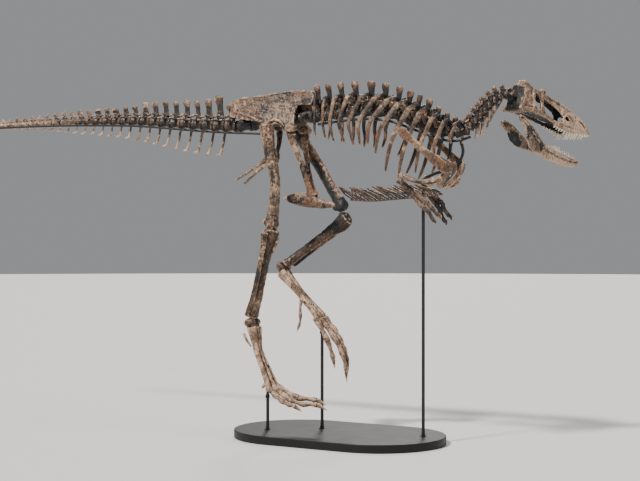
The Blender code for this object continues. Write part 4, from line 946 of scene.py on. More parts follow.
RIGHT_FIBULA_PATCHES = (
    ((-0.6, -0.26, 1.3), (0.05, 0.1, 0.13), 0, 0.65), ((-0.56, -0.26, 1.5), 0.16, 1, 0.8),
)
LEFT_FIBULA_PATCHES = (((-0.2, 0.25, 1.62), 0.2, 1, 0.6), ((-0.5, 0.24, 1.42), 0.1, 0, 0.7))


def left_femur_patches():
    """Black all over but for its head and a brown band down its front."""
    patches = [((0, 0, 1.5), 9.0, 0, 1.0), ((-0.385, 0.12, 2.33), 0.15, 0, -1.0),
               ((-0.36, 0.12, 2.33), 0.16, 2, 0.9)]
    for step in range(11):
        place = Shaft(LEFT_FEMUR, 0.22 + 0.066 * step, LEFT)
        patches.append((place.point(0, -0.012, 0.036), 0.04, 0, -1.0))
        patches.append((place.point(0, 0, 0.036), 0.06, 1, 0.35 + 0.06 * step))
    return patches


def left_tibia_patches():
    """Black down its back and stained down its front."""
    patches = [(Shaft(LEFT_TIBIA, 0.17, LEFT).point(0, 0, 0.03), (0.05, 0.1, 0.05), 0, 0.9)]
    for step in range(14):
        place = Shaft(LEFT_TIBIA, 0.03 + 0.072 * step, LEFT)
        patches.append((place.point(0, 0, -0.075), 0.098, 0, 1.0))
        patches.append((place.point(0, 0, 0.02), 0.05, 2, 0.6 if step % 3 else 0.2))
    return patches


def make_legs():
    make_femur(RIGHT, RIGHT_FEMUR, "brown_bone", RIGHT_FEMUR_PATCHES)
    make_femur(LEFT, LEFT_FEMUR, "dark_infill", left_femur_patches())
    make_tibia(RIGHT, RIGHT_TIBIA, "brown_bone", RIGHT_TIBIA_PATCHES)
    make_tibia(LEFT, LEFT_TIBIA, "dark_infill", left_tibia_patches())
    make_fibula(RIGHT, RIGHT_FIBULA, RIGHT_FIBULA_PATCHES)
    make_fibula(LEFT, LEFT_FIBULA, LEFT_FIBULA_PATCHES)
    make_ankle(RIGHT, RIGHT_ANKLE, 0.45)
    make_ankle(LEFT, LEFT_ANKLE, 0.95)


# ---------------------------------------------------------------- feet


def make_metatarsus(side, top, waist, ends):
    """Three long foot bones, the middle one pinched at its top, with two rollers at each foot end."""
    piece = begin("bone_metatarsus_" + WORDS[side])
    top = Vector(top)
    waist = Vector(waist)
    for number, last in enumerate(ends):
        last = Vector(last)
        across = (number - 1) * 0.038
        slim = 0.55 if number == 1 else 1.0
        start = top + SIDE * across - 0.018 * (waist - top).normalized()
        middle = waist + SIDE * across * 0.75
        low = middle.lerp(last, 0.55)
        last += 0.012 * (last - low).normalized()
        points = (start, start.lerp(middle, 0.5), middle, low, last)
        sizes = ((0.026 * slim, 0.046), (0.018 * slim, 0.033), (0.015 * (0.5 + 0.5 * slim), 0.027),
                 (0.015, 0.023), (0.019, 0.025))
        limb(points, sizes, SIDE, 10, 3)
        place = Shaft((low, last), 0.98, side)
        for out in (-0.01, 0.01):
            limb((place.point(-0.006, out, -0.012), place.point(0.0, out, 0.01)),
                 ((0.009, 0.017), (0.009, 0.018)), SIDE, 8, 1)
    patches = [(top, 0.16, 1, 0.6), (waist, 0.18, 1, 0.9), (top.lerp(waist, 0.6), (0.018, 0.2, 0.1), 0, 0.5),
               (ends[1], 0.12, 2, 0.5), (waist.lerp(Vector(ends[1]), 0.6), (0.014, 0.2, 0.08), 0, 0.5)]
    finish_bone(piece, (0.0036, 1, 0.003), patches, "pale_bone")


# Half sizes along a toe bone and along a claw, as shares of the toe's own size.
TOE_BONE = ((1.08, 1.22), (1.04, 1.12), (0.7, 0.74), (0.96, 1.08), (0.98, 1.1))
CLAW = ((0.8, 1.2), (0.7, 1.15), (0.52, 0.8), (0.32, 0.42), (0.1, 0.12))
CLAW_START = 0.8


def make_toe(name, points, start_size, claw_size, joints):
    """Toe bones, each waisted between its rollers, and a curved claw."""
    piece = begin("bone_" + name)
    path = Path(points)
    claw_start = CLAW_START * path.length
    lengths = [blend(joint, ((0, 1.25), (joints - 1, 0.85))) for joint in range(joints)]
    total = sum(lengths)
    reach = 0.0
    for joint, length in enumerate(lengths):
        part = claw_start * length / total
        size = start_size + (claw_size - start_size) * joint / joints
        stations = (0.0 if joint else -0.08, 0.16, 0.5, 0.84, 0.97)
        limb([path.at(reach + part * share) for share in stations],
             [(size * a, size * b) for a, b in TOE_BONE], SIDE, 10, 2)
        reach += part
    stations = (0.04, 0.22, 0.5, 0.8, 1.0)
    limb([path.at(reach + (path.length - reach) * share) for share in stations],
         [(claw_size * a, claw_size * b) for a, b in CLAW], SIDE, 8, 2, False)
    patches = [(path.at(0.2 * path.length), 0.12, 1, 0.7), (path.at(0.6 * path.length), 0.1, 2, 0.4),
               (path.at(path.length), 0.05, 0, 0.35)]
    finish_bone(piece, (0.0028, 1, 0.002), patches, "pale_bone")


TOES = (
    ("toe_2_right", ((-0.488, -0.146, 0.414), (-0.4, -0.143, 0.378), (-0.29, -0.138, 0.33),
                     (-0.13, -0.122, 0.318), (-0.04, -0.12, 0.282)), 0.024, 0.016, 2),
    ("toe_3_right", ((-0.478, -0.2, 0.404), (-0.38, -0.2, 0.345), (-0.234, -0.2, 0.292),
                     (-0.09, -0.2, 0.292), (0.022, -0.2, 0.254)), 0.025, 0.016, 3),
    ("toe_4_right", ((-0.498, -0.253, 0.402), (-0.42, -0.256, 0.345), (-0.343, -0.258, 0.3),
                     (-0.24, -0.26, 0.272), (-0.178, -0.26, 0.236)), 0.024, 0.015, 4),
    ("hallux_right", ((-0.56, -0.112, 0.432), (-0.61, -0.11, 0.424),
                      (-0.655, -0.112, 0.38)), 0.015, 0.011, 1),
    ("toe_2_left", ((-0.222, 0.04, 0.944), (-0.168, 0.04, 0.86), (-0.112, 0.038, 0.762),
                    (-0.07, 0.034, 0.652), (-0.05, 0.032, 0.556)), 0.024, 0.015, 2),
    ("toe_3_left", ((-0.205, 0.094, 0.935), (-0.13, 0.096, 0.85), (-0.053, 0.094, 0.744),
                    (0.011, 0.092, 0.6), (0.026, 0.092, 0.446)), 0.025, 0.016, 3),
    ("toe_4_left", ((-0.2, 0.148, 0.948), (-0.12, 0.15, 0.86), (-0.056, 0.15, 0.765),
                    (-0.008, 0.15, 0.65), (0.01, 0.15, 0.53)), 0.024, 0.015, 4),
    ("hallux_left", ((-0.365, 0.036, 1.1), (-0.378, 0.04, 1.02), (-0.38, 0.042, 0.93),
                     (-0.412, 0.044, 0.838)), 0.014, 0.011, 2),
)


def make_feet():
    """Both sets of foot bones, the splint behind the right one and eight toes."""
    make_metatarsus(RIGHT, (-0.662, -0.2, 0.862), (-0.626, -0.2, 0.69),
                    ((-0.508, -0.245, 0.434), (-0.492, -0.2, 0.432), (-0.5, -0.155, 0.438)))
    make_metatarsus(LEFT, (-0.594, 0.15, 1.306), (-0.424, 0.124, 1.15),
                    ((-0.24, 0.047, 0.984), (-0.23, 0.092, 0.968), (-0.224, 0.137, 0.982)))
    splint = begin("bone_splint")
    limb(((-0.734, -0.252, 0.832), (-0.702, -0.256, 0.78), (-0.66, -0.256, 0.73)),
         ((0.006, 0.014), (0.006, 0.011), (0.004, 0.005)), SIDE, 8, 3)
    end(splint)
    tone(splint, (), (0.0, 0.4, 0.0))
    settle(splint, "pale_bone", "splint_right")
    for toe in TOES:
        make_toe(*toe)


# ---------------------------------------------------------------- shoulders, arms and belly


def mirrored(points, side):
    """Points of the left side, or their mirror image for the right."""
    return [Vector((x, y if side == LEFT else -y, z)) for x, y, z in points]


def make_shoulder(side):
    """Blade of the shoulder, the rounded plate below it and the web that joins them."""
    word = WORDS[side]
    blade = begin("bone_scapula_" + word)
    points = mirrored(((0.676, 0.258, 2.415), (0.704, 0.257, 2.389), (0.77, 0.252, 2.33),
                       (0.845, 0.236, 2.266), (0.935, 0.202, 2.185), (0.992, 0.168, 2.13)), side)
    limb(points, ((0.005, 0.022), (0.009, 0.043), (0.008, 0.031), (0.009, 0.029), (0.014, 0.04),
                  (0.016, 0.046)), (0.25, 1, 0), 12, 4)
    limb((points[4], points[5] + Vector((0.014, -side * 0.01, 0.022))),
         ((0.01, 0.018), (0.009, 0.02)), SIDE, 8, 2)
    patches = ((points[1], 0.22, 2, 0.9), (points[3], 0.16, 1, 0.45), (points[5], 0.16, 2, 0.9))
    finish_bone(blade, (0.0038, 2, 0.003), patches, "brown_bone")
    shield = begin("bone_coracoid_" + word)
    outline = flow(mirrored(((1.006, 0.148, 2.118), (1.038, 0.1, 2.158), (1.045, 0.056, 2.168),
                             (1.012, 0.048, 2.064), (0.914, 0.052, 1.984), (0.908, 0.092, 2.012),
                             (0.975, 0.144, 2.085), (1.006, 0.148, 2.118)), side), 3)[:-1]
    plate(outline, [point + Vector((0.014, 0, -0.014)) for point in outline])
    web = flow(mirrored(((0.95, 0.197, 2.222), (1.006, 0.146, 2.188), (1.038, 0.1, 2.16),
                         (1.026, 0.096, 2.11), (0.984, 0.15, 2.086), (0.944, 0.188, 2.128),
                         (0.95, 0.197, 2.222)), side), 3)[:-1]
    plate(web, [point + Vector((0.013, side * 0.012, -0.006)) for point in web])
    limb(mirrored(((0.99, 0.14, 2.104), (1.004, 0.1, 2.104), (0.985, 0.072, 2.06)), side),
         ((0.016, 0.014), (0.014, 0.012), (0.012, 0.01)), SIDE, 8, 2)
    patches = ((outline[0], 0.12, 2, 0.8), (outline[-6], 0.1, 1, 0.7))
    finish_bone(shield, (0.0036, 2, 0.003), patches, "brown_bone")


def make_arm(side):
    """Upper arm with its crest, both forearm bones, and a palm with two clawed fingers."""
    word = WORDS[side]
    far = 0.85 if side == LEFT else 0.3
    humerus = mirrored(((0.972, 0.162, 2.05), (0.922, 0.176, 2.026), (0.806, 0.196, 2.022),
                        (0.705, 0.206, 2.056), (0.658, 0.208, 2.073)), side)
    upper = begin("bone_humerus_" + word)
    limb(humerus, ((0.018, 0.026), (0.018, 0.026), (0.014, 0.017), (0.018, 0.021), (0.021, 0.024)),
         SIDE, 10, 4)
    crest = mirrored(((0.94, 0.178, 2.008), (0.89, 0.186, 1.998), (0.84, 0.192, 2.01)), side)
    limb(crest, ((0.009, 0.012), (0.009, 0.013), (0.008, 0.008)), SIDE, 8, 2)
    patches = ((humerus[1], 0.1, 1, 0.7), (humerus[3], 0.1, 1, 0.7), (humerus[2], 0.09, 0, far))
    finish_bone(upper, (0.0034, 1, 0.003), patches, "brown_bone")
    for bone, out, fore in (("ulna", 0.018, -0.008), ("radius", -0.01, 0.014)):
        points = mirrored(((0.64 + fore, 0.196 + out, 2.034), (0.678 + fore, 0.176 + out, 1.998),
                           (0.716 + fore, 0.152 + out, 1.96)), side)
        piece = begin("bone_%s_%s" % (bone, word))
        limb(points, ((0.0135, 0.019), (0.01, 0.012), (0.013, 0.015)), SIDE, 8, 4)
        patches = ((points[1], 0.06, 0, far), (points[0], 0.05, 1, 0.6))
        finish_bone(piece, (0.003, 1, 0.002), patches, "brown_bone")
    make_hand(side)


# Palm bone, then the joints of the finger, for each of the two fingers.
FINGERS = (
    (((0.732, 0.15, 1.928), (0.766, 0.146, 1.884), (0.806, 0.142, 1.842)),
     ((0.812, 0.142, 1.836), (0.862, 0.136, 1.79), (0.892, 0.13, 1.735), (0.914, 0.126, 1.698))),
    (((0.75, 0.15, 1.944), (0.794, 0.146, 1.906), (0.838, 0.142, 1.874)),
     ((0.844, 0.142, 1.868), (0.888, 0.138, 1.822), (0.93, 0.132, 1.775), (0.958, 0.126, 1.735))),
)
FINGER_SIZES = (((0.015, 0.021), (0.012, 0.017), (0.014, 0.02)),
                ((0.014, 0.019), (0.01, 0.015), (0.013, 0.018)))
LEFT_FINGERS_BACK = 0.03


def make_hand(side):
    """Two clawed fingers, each on its palm bone and knuckle."""
    piece = begin("bone_hand_" + WORDS[side])
    back = 0.0 if side == RIGHT else LEFT_FINGERS_BACK
    across = Vector((0.75, 0, 0.66)).normalized()
    for palm, finger in FINGERS:
        limb(mirrored(palm, side), ((0.016, 0.024), (0.013, 0.019), (0.016, 0.022)), SIDE, 8, 3)
        joints = mirrored(finger[:1] + tuple((x - back, y, z) for x, y, z in finger[1:]), side)
        for first, second, sizes in zip(joints, joints[1:], FINGER_SIZES):
            limb((first, first.lerp(second, 0.5), second), sizes, SIDE, 8, 2)
        limb((joints[2], joints[2].lerp(joints[3], 0.5) + across * 0.01, joints[3]),
             ((0.009, 0.018), (0.008, 0.014), (0.002, 0.003)), SIDE, 8, 3, False)
        knuckle = mirrored(palm[:1], side)[0]
        limb((knuckle - across * 0.008, knuckle + across * 0.012), [(0.013, 0.016)] * 2, SIDE, 8, 1)
    centre = Vector((0.8, side * 0.146, 1.88))
    filler = 0.36 if side == RIGHT else 0.5
    finish_bone(piece, (0.0028, 1, 0.002), ((centre, 0.1, 2, 0.4), (centre, 0.12, 1, 0.3)), "brown_bone",
                base=(filler, 0.0, 0.0))


BELLY_ROWS = 23
BELLY_KEEL = ((0.06, 1.905), (0.3, 1.89), (0.6, 1.905), (0.9, 1.93))
# How far back the tips of each side's belly ribs are swept.
BELLY_SWEEP = {RIGHT: 0.115, LEFT: 0.165}


def make_belly():
    """Rows of thin belly ribs, overlapping at the keel and swept back."""
    chance = random.Random(5)
    piece = begin("bone_belly_ribs")
    for row in range(BELLY_ROWS):
        x = 0.1225 + row * 0.035
        z = blend(x, BELLY_KEEL)
        share = row / (BELLY_ROWS - 1)
        reach = blend(share, ((0, 0.1), (0.4, 0.115), (1, 0.085)))
        rise = blend(share, ((0, 0.112), (0.5, 0.108), (1, 0.082)))
        for side in SIDES:
            sway = chance.uniform(-0.012, 0.012)
            tip = Vector((x - BELLY_SWEEP[side] + sway, side * reach, z + 0.86 * rise + sway))
            tip.x = max(tip.x, 0.064)
            keel = Vector((x + 0.012, -side * 0.01, z + 0.001))
            half = Vector((x - 0.03 + 0.5 * sway, side * reach * 0.55, z + rise * 0.38 + 0.3 * sway))
            limb((keel, half, tip), ((0.006, 0.0066), (0.005, 0.0056), (0.003, 0.0034)), SIDE, 8, 4)
            outer = half.lerp(tip, 0.2) + Vector((0.008, 0, 0.002))
            limb((outer, tip + Vector((0.01, side * 0.006, 0.002))), ((0.004, 0.0044), (0.0026, 0.0028)),
                 SIDE, 6, 2)
    limb([(x, 0, blend(x, BELLY_KEEL)) for x in (0.112, 0.3, 0.5, 0.7, 0.903)], [(0.006, 0.005)] * 5,
         SIDE, 8, 4)
    end(piece)
    weather(piece, 0.03, 0.0016)
    tone(piece, (((0.3, 0, 1.95), 0.3, 2, 0.4), ((0.75, 0, 1.95), 0.2, 1, 0.4)), (0.38, 0.0, 0.0))
    settle(piece, "brown_bone", "gastralia")


# ---------------------------------------------------------------- head
HEAD_YAW = math.radians(60.4)
HEAD_PITCH = math.radians(17.0)
HEAD_ORIGIN = Vector((1.362, 0.357, 2.671))
HEAD_FORWARD = Vector((math.cos(HEAD_YAW) * math.cos(HEAD_PITCH), math.sin(HEAD_YAW) * math.cos(HEAD_PITCH),
                       -math.sin(HEAD_PITCH)))
HEAD_LEFT = Vector((-math.sin(HEAD_YAW), math.cos(HEAD_YAW), 0))
HEAD_UP = HEAD_FORWARD.cross(HEAD_LEFT)


def head(forward, left, up):
    """Point in the skull's own space: along the jaw line, to its left and up."""
    return HEAD_ORIGIN + HEAD_FORWARD * forward + HEAD_LEFT * left + HEAD_UP * up


SKULL_TOP = ((-0.03, 0.1), (0.02, 0.15), (0.05, 0.14), (0.09, 0.12), (0.215, 0.118), (0.286, 0.096),
             (0.35, 0.098), (0.555, 0.076), (0.655, 0.06), (0.725, 0.022), (0.768, -0.018))
SKULL_BOTTOM = ((-0.03, -0.06), (0.0, -0.1), (0.1, -0.086), (0.3, -0.09), (0.38, -0.106),
                (0.52, -0.108), (0.69, -0.062), (0.768, -0.044))
SKULL_WIDE_TOP = ((-0.03, 0.03), (0.06, 0.06), (0.2, 0.066), (0.3, 0.04), (0.6, 0.026),
                  (0.768, 0.012))
SKULL_WIDE_LOW = ((-0.03, 0.06), (0.02, 0.112), (0.12, 0.115), (0.3, 0.09), (0.5, 0.066),
                  (0.7, 0.044), (0.768, 0.016))


def skull_ring(forward, thin=0.0, lower=0.0):
    """Section of the skull at a distance along it, thinned for its inside."""
    top = blend(forward, SKULL_TOP) - 1.2 * thin
    bottom = blend(forward, SKULL_BOTTOM) + 1.2 * thin - lower
    wide_top = max(0.004, blend(forward, SKULL_WIDE_TOP) - thin)
    wide_low = max(0.005, blend(forward, SKULL_WIDE_LOW) - thin)
    high = top - bottom
    shape = ((0.5 * wide_top, top), (wide_top, top - 0.05 * high),
             (0.45 * (wide_top + wide_low), bottom + 0.66 * high), (wide_low, bottom + 0.36 * high),
             (0.98 * wide_low, bottom + 0.12 * high), (0.8 * wide_low, bottom))
    right = [head(forward, -wide, up) for wide, up in reversed(shape)]
    return [head(forward, wide, up) for wide, up in shape] + right


def oval(centre, half_long, half_high, lean=0.0):
    """Outline of an oval whose top leans forward by a share of its height."""
    return [(centre[0] + half_long * math.cos(turn) + lean * half_high * math.sin(turn),
             centre[1] + half_high * math.sin(turn)) for turn in turns(12)]


def subtract(piece, cutter):
    """Cut an open blank out of a piece."""
    end(cutter)
    apply(piece, "BOOLEAN", operation="DIFFERENCE", solver="EXACT", object=cutter)
    bpy.data.objects.remove(cutter)


def cut(piece, outline):
    """Cut an opening of this outline through both walls of the skull."""
    cutter = begin("cutter")
    sweep([[head(a, out, b) for a, b in outline] for out in (-0.2, 0.2)])
    subtract(piece, cutter)


def smooth_outline(points):
    """Closed outline with its corners rounded."""
    run = flow([(a, b, 0) for a, b in tuple(points) + (points[0],)], 3)[:-1]
    return [(p.x, p.y) for p in run]


def head_space(places):
    """The same points as distances forward, left and up in the skull's own space."""
    far = places - np.array(HEAD_ORIGIN)
    return far @ np.array(HEAD_FORWARD), far @ np.array(HEAD_LEFT), far @ np.array(HEAD_UP)


def darken_inside(piece):
    """Black on every wall of the skull that faces inwards, and over its back."""
    mesh = piece.data
    layer = mesh.attributes["tone"]
    values = np.empty(len(mesh.vertices) * 4)
    layer.data.foreach_get("color", values)
    values = values.reshape(-1, 4)
    forward, left, up = head_space(mesh_values(mesh, "co"))
    facing = mesh_values(mesh, "normal") @ np.array(HEAD_LEFT) * np.sign(left)
    wide = np.interp(forward, *zip(*SKULL_WIDE_LOW))
    walls = (facing < 0.05) & (forward > 0.08) & (forward < 0.62) & (np.abs(left) < 0.93 * wide)
    walls &= up < np.interp(forward, *zip(*SKULL_TOP)) - 0.022
    back = (forward < 0.012) & (np.abs(left) < 0.082) & (up < 0.09)
    values[walls | back, 0] = 1.0
    layer.data.foreach_set("color", values.ravel())


UPPER_TOOTH_LENGTHS = (0.012, 0.016, 0.022, 0.015, 0.032, 0.054, 0.058, 0.055, 0.046, 0.014, 0.048, 0.044,
                       0.018, 0.014)
LOWER_TEETH = 14
LOWER_TOOTH_LENGTHS = ((0, 0.018), (4, 0.052), (9, 0.044), (LOWER_TEETH - 1, 0.028))


# Half sizes of a tooth's root across and along the jaw, and the bow of its middle to the front.
TOOTH_WIDE = 0.0078
TOOTH_LONG = 0.0112
TOOTH_BOW = 0.004


def tooth(root, tip):
    """Flattened cone with a slight bow to the front."""
    middle = root.lerp(tip, 0.5) + HEAD_FORWARD * TOOTH_BOW
    across = (tip - root).cross(HEAD_FORWARD).normalized()
    limb((root, root.lerp(middle, 0.6), middle, middle.lerp(tip, 0.6), tip),
         [(TOOTH_WIDE * share, TOOTH_LONG * share) for share in (1.0, 0.92, 0.68, 0.4, 0.08)], across, 8, 1,
         False)


def upper_teeth():
    """Row of teeth down each side of the upper jaw, longest near its middle."""
    chance = random.Random(3)
    piece = begin("teeth")
    for number, length in enumerate(UPPER_TOOTH_LENGTHS):
        forward = 0.372 + number * 0.0275
        high = blend(forward, SKULL_BOTTOM)
        wide = 0.8 * blend(forward, SKULL_WIDE_LOW)
        for side in SIDES:
            long = length * chance.uniform(0.85, 1.05)
            tooth(head(forward, side * wide, high + 0.012),
                  head(forward - 0.01, side * wide * 0.98, high - long))
    return end(piece)


def lower_teeth(side):
    """Row of teeth along one side of the lower jaw."""
    chance = random.Random(6 + side)
    piece = begin("teeth")
    for number in range(LOWER_TEETH):
        forward = 0.36 + number * 0.0232
        length = blend(number, LOWER_TOOTH_LENGTHS) * chance.uniform(0.6, 1.15)
        top = jaw_edges(forward, side)[1]
        out = side * blend(forward, JAW_MIDDLE)
        tooth(head(forward, out, top - 0.01), head(forward - 0.008, out, top + length))
    return end(piece)


def settle_with_teeth(piece, teeth):
    """Join a jaw and its teeth, each in its own finish, and settle them."""
    piece.data.materials.append(dress("brown_bone"))
    tone(teeth, (), (0.0, 1.0, 0.0))
    teeth.data.materials.append(dress("enamel"))
    settle(joined([piece, teeth]), "brown_bone")


# Bars of each side of the skull: (forward, out, up) points and their half sizes.
SKULL_BARS = (
    # between the eye and the window before it
    (((0.18, 0.062, 0.108), (0.188, 0.082, 0.03), (0.196, 0.098, -0.058)),
     ((0.014, 0.018), (0.01, 0.012), (0.012, 0.018))),
    # behind the eye
    (((0.098, 0.066, 0.1), (0.092, 0.096, 0.03), (0.104, 0.108, -0.052)),
     ((0.016, 0.018), (0.011, 0.013), (0.012, 0.016))),
    # rear corner above the jaw joint
    (((0.01, 0.084, 0.07), (0.012, 0.106, -0.02), (-0.006, 0.102, -0.094)),
     ((0.016, 0.016), (0.012, 0.014), (0.018, 0.02))),
    # cheek
    (((0.0, 0.106, -0.08), (0.11, 0.114, -0.066), (0.21, 0.104, -0.064), (0.33, 0.084, -0.076)),
     ((0.01, 0.012), (0.011, 0.016), (0.01, 0.017), (0.01, 0.014))),
    # brow
    (((0.168, 0.058, 0.118), (0.196, 0.062, 0.128), (0.222, 0.052, 0.118)),
     ((0.014, 0.01), (0.015, 0.012), (0.01, 0.008))),
    # rim above the teeth
    (((0.35, 0.076, -0.082), (0.5, 0.064, -0.08), (0.65, 0.046, -0.05)),
     ((0.008, 0.012), (0.008, 0.013), (0.007, 0.012))),
    # palate
    (((0.08, 0.05, -0.07), (0.22, 0.034, -0.062), (0.4, 0.026, -0.06), (0.56, 0.018, -0.06)),
     ((0.03, 0.006), (0.036, 0.006), (0.03, 0.006), (0.018, 0.006))),
    # strut in front of the large window
    (((0.435, 0.06, -0.03), (0.47, 0.055, 0.034), (0.52, 0.046, 0.04)),
     ((0.006, 0.01), (0.005, 0.008), (0.006, 0.008))),
    # edge of the snout's roof
    (((0.24, 0.04, 0.104), (0.36, 0.034, 0.098), (0.52, 0.028, 0.08)),
     ((0.008, 0.009), (0.009, 0.01), (0.007, 0.008))),
)
SKULL_STATIONS = (-0.03, -0.005, 0.02, 0.05, 0.09, 0.13, 0.17, 0.215, 0.25, 0.286, 0.33, 0.38, 0.43,
                  0.48, 0.53, 0.58, 0.62, 0.655, 0.69, 0.725, 0.75, 0.768)
HOLLOW_STATIONS = (0.1, 0.16, 0.215, 0.286, 0.38, 0.47, 0.57, 0.63)
SKULL_WINDOWS = (
    oval((0.14, 0.016), 0.033, 0.07, -0.3),
    smooth_outline(((0.198, 0.066), (0.3, 0.056), (0.395, 0.028), (0.446, -0.016), (0.424, -0.05),
                    (0.345, -0.062), (0.236, -0.042), (0.206, 0.0))),
    oval((0.49, 0.002), 0.022, 0.018),
    smooth_outline(((0.615, 0.038), (0.665, 0.034), (0.708, 0.004), (0.7, -0.012), (0.66, 0.01),
                    (0.622, 0.024))),
)


def skull_bars():
    """Bars, crest and joint knob of the skull, and the knobs along its snout."""
    bars = begin("bars")
    for side in SIDES:
        for points, sizes in SKULL_BARS:
            limb([head(a, side * b, c) for a, b, c in points], sizes, HEAD_LEFT, 8, 2)
    limb([head(a, 0, c) for a, c in ((0.0, 0.128), (0.024, 0.143), (0.056, 0.128))],
         ((0.04, 0.01), (0.042, 0.012), (0.03, 0.01)), HEAD_LEFT, 10, 3)
    limb([head(a, 0, c) for a, c in ((-0.04, -0.012), (-0.02, -0.008))], ((0.022, 0.02), (0.024, 0.022)),
         HEAD_LEFT, 12, 1)
    chance = random.Random(9)
    for step in range(12):
        along = 0.28 + step * 0.032
        across = chance.choice((-1, 1)) * 0.35 * blend(along, SKULL_WIDE_TOP)
        high = blend(along, SKULL_TOP) - 0.006
        limb((head(along, across, high), head(along + 0.018, across, high + chance.uniform(0.001, 0.004))),
             ((0.01, 0.007), (0.008, 0.006)), HEAD_LEFT, 8, 1)
    return end(bars)


SKULL_PATCHES = (
    ((0.18, 0.09, 0.03), 0.1, 1, 0.7), ((0.1, 0.1, -0.06), 0.12, 2, 0.7), ((0.45, 0.06, -0.07), 0.14, 2, 0.7),
    ((0.45, 0.06, -0.07), 0.14, 1, 0.7), ((0.08, 0.1, 0.0), 0.11, 1, 0.9),
    ((0.33, 0.08, -0.08), 0.12, 1, 0.8),
)


def make_skull():
    """Skull: hollow shell with its windows, then bars, crests, palate and weathering."""
    piece = begin("bone_skull")
    sweep([skull_ring(station) for station in SKULL_STATIONS])
    end(piece)
    hollow = begin("hollow")
    sweep([skull_ring(station, 0.012, 0.03) for station in HOLLOW_STATIONS])
    subtract(piece, hollow)
    for window in SKULL_WINDOWS:
        cut(piece, window)
    piece = joined([piece, skull_bars()])
    carve(piece, 0.0034, 1, 0.0045)
    patches = [(head(0.3, 0, 0.09), 0.16, 1, 0.7), (head(0.6, 0, 0.0), 0.3, 1, 2.0),
               (head(0.55, 0, 0.0), 0.24, 2, 0.8)]
    for step in range(12):
        along = -0.02 + 0.055 * step
        inside = 0.72 * blend(along, SKULL_WIDE_LOW)
        patches.append((head(along, 0, -0.02), (inside, inside, 0.11), 0, 0.95))
    for side in SIDES:
        patches += [(head(a, side * b, c), *patch) for (a, b, c), *patch in SKULL_PATCHES]
    patches += [(head(0.02, 0, 0.14), 0.06, 0, -0.8), (head(-0.03, 0, 0.03), 0.07, 0, 0.9)]
    tone(piece, patches)
    darken_inside(piece)
    settle_with_teeth(piece, upper_teeth())


JAW_TOP = ((-0.004, -0.142), (0.045, -0.146), (0.141, -0.19), (0.229, -0.233), (0.304, -0.276),
           (0.435, -0.283), (0.577, -0.285), (0.69, -0.268), (0.708, -0.27))
JAW_BOTTOM = ((-0.004, -0.18), (0.045, -0.205), (0.075, -0.236), (0.14, -0.35), (0.229, -0.367),
              (0.391, -0.364), (0.482, -0.364), (0.628, -0.346), (0.69, -0.322), (0.708, -0.306))
LEFT_JAW_TOP_SHIFT = ((-0.004, -0.035), (0.045, -0.017), (0.1, 0.0))
LEFT_JAW_BOTTOM_SHIFT = ((-0.004, -0.02), (0.045, -0.03), (0.1, -0.004), (0.16, 0.036), (0.33, 0.045),
                         (0.5, 0.032), (0.69, 0.0))
JAW_MIDDLE = ((0.0, 0.105), (0.15, 0.1), (0.45, 0.056), (0.64, 0.026), (0.69, 0.018))
JAW_HALF_THICK = ((0.0, 0.013), (0.1, 0.01), (0.26, 0.01), (0.35, 0.014), (0.6, 0.015), (0.7, 0.013))
JAW_SECTION = ((0.7, 1.0), (1.0, 0.9), (0.75, 0.6), (1.05, 0.3), (0.8, 0.06), (0.2, 0.0), (-0.5, 0.0),
               (-0.9, 0.12), (-0.7, 0.5), (-0.9, 0.9), (-0.6, 1.0))
JAW_STATIONS = (-0.004, 0.02, 0.045, 0.075, 0.11, 0.16, 0.21, 0.26, 0.32, 0.38, 0.45, 0.52, 0.59, 0.64,
                0.675, 0.695, 0.708)


def jaw_edges(forward, side):
    """Lower and upper edge of one side of the lower jaw."""
    top = blend(forward, JAW_TOP)
    bottom = blend(forward, JAW_BOTTOM)
    if side == LEFT:
        top += blend(forward, LEFT_JAW_TOP_SHIFT)
        bottom += blend(forward, LEFT_JAW_BOTTOM_SHIFT)
    return bottom, top


def jaw_ring(forward, side):
    """Section of one side of the lower jaw at a distance along it."""
    bottom, top = jaw_edges(forward, side)
    middle = blend(forward, JAW_MIDDLE)
    half = blend(forward, JAW_HALF_THICK)
    return [head(forward, side * max(0.001, middle + wide * half), bottom + up * (top - bottom))
            for wide, up in JAW_SECTION]


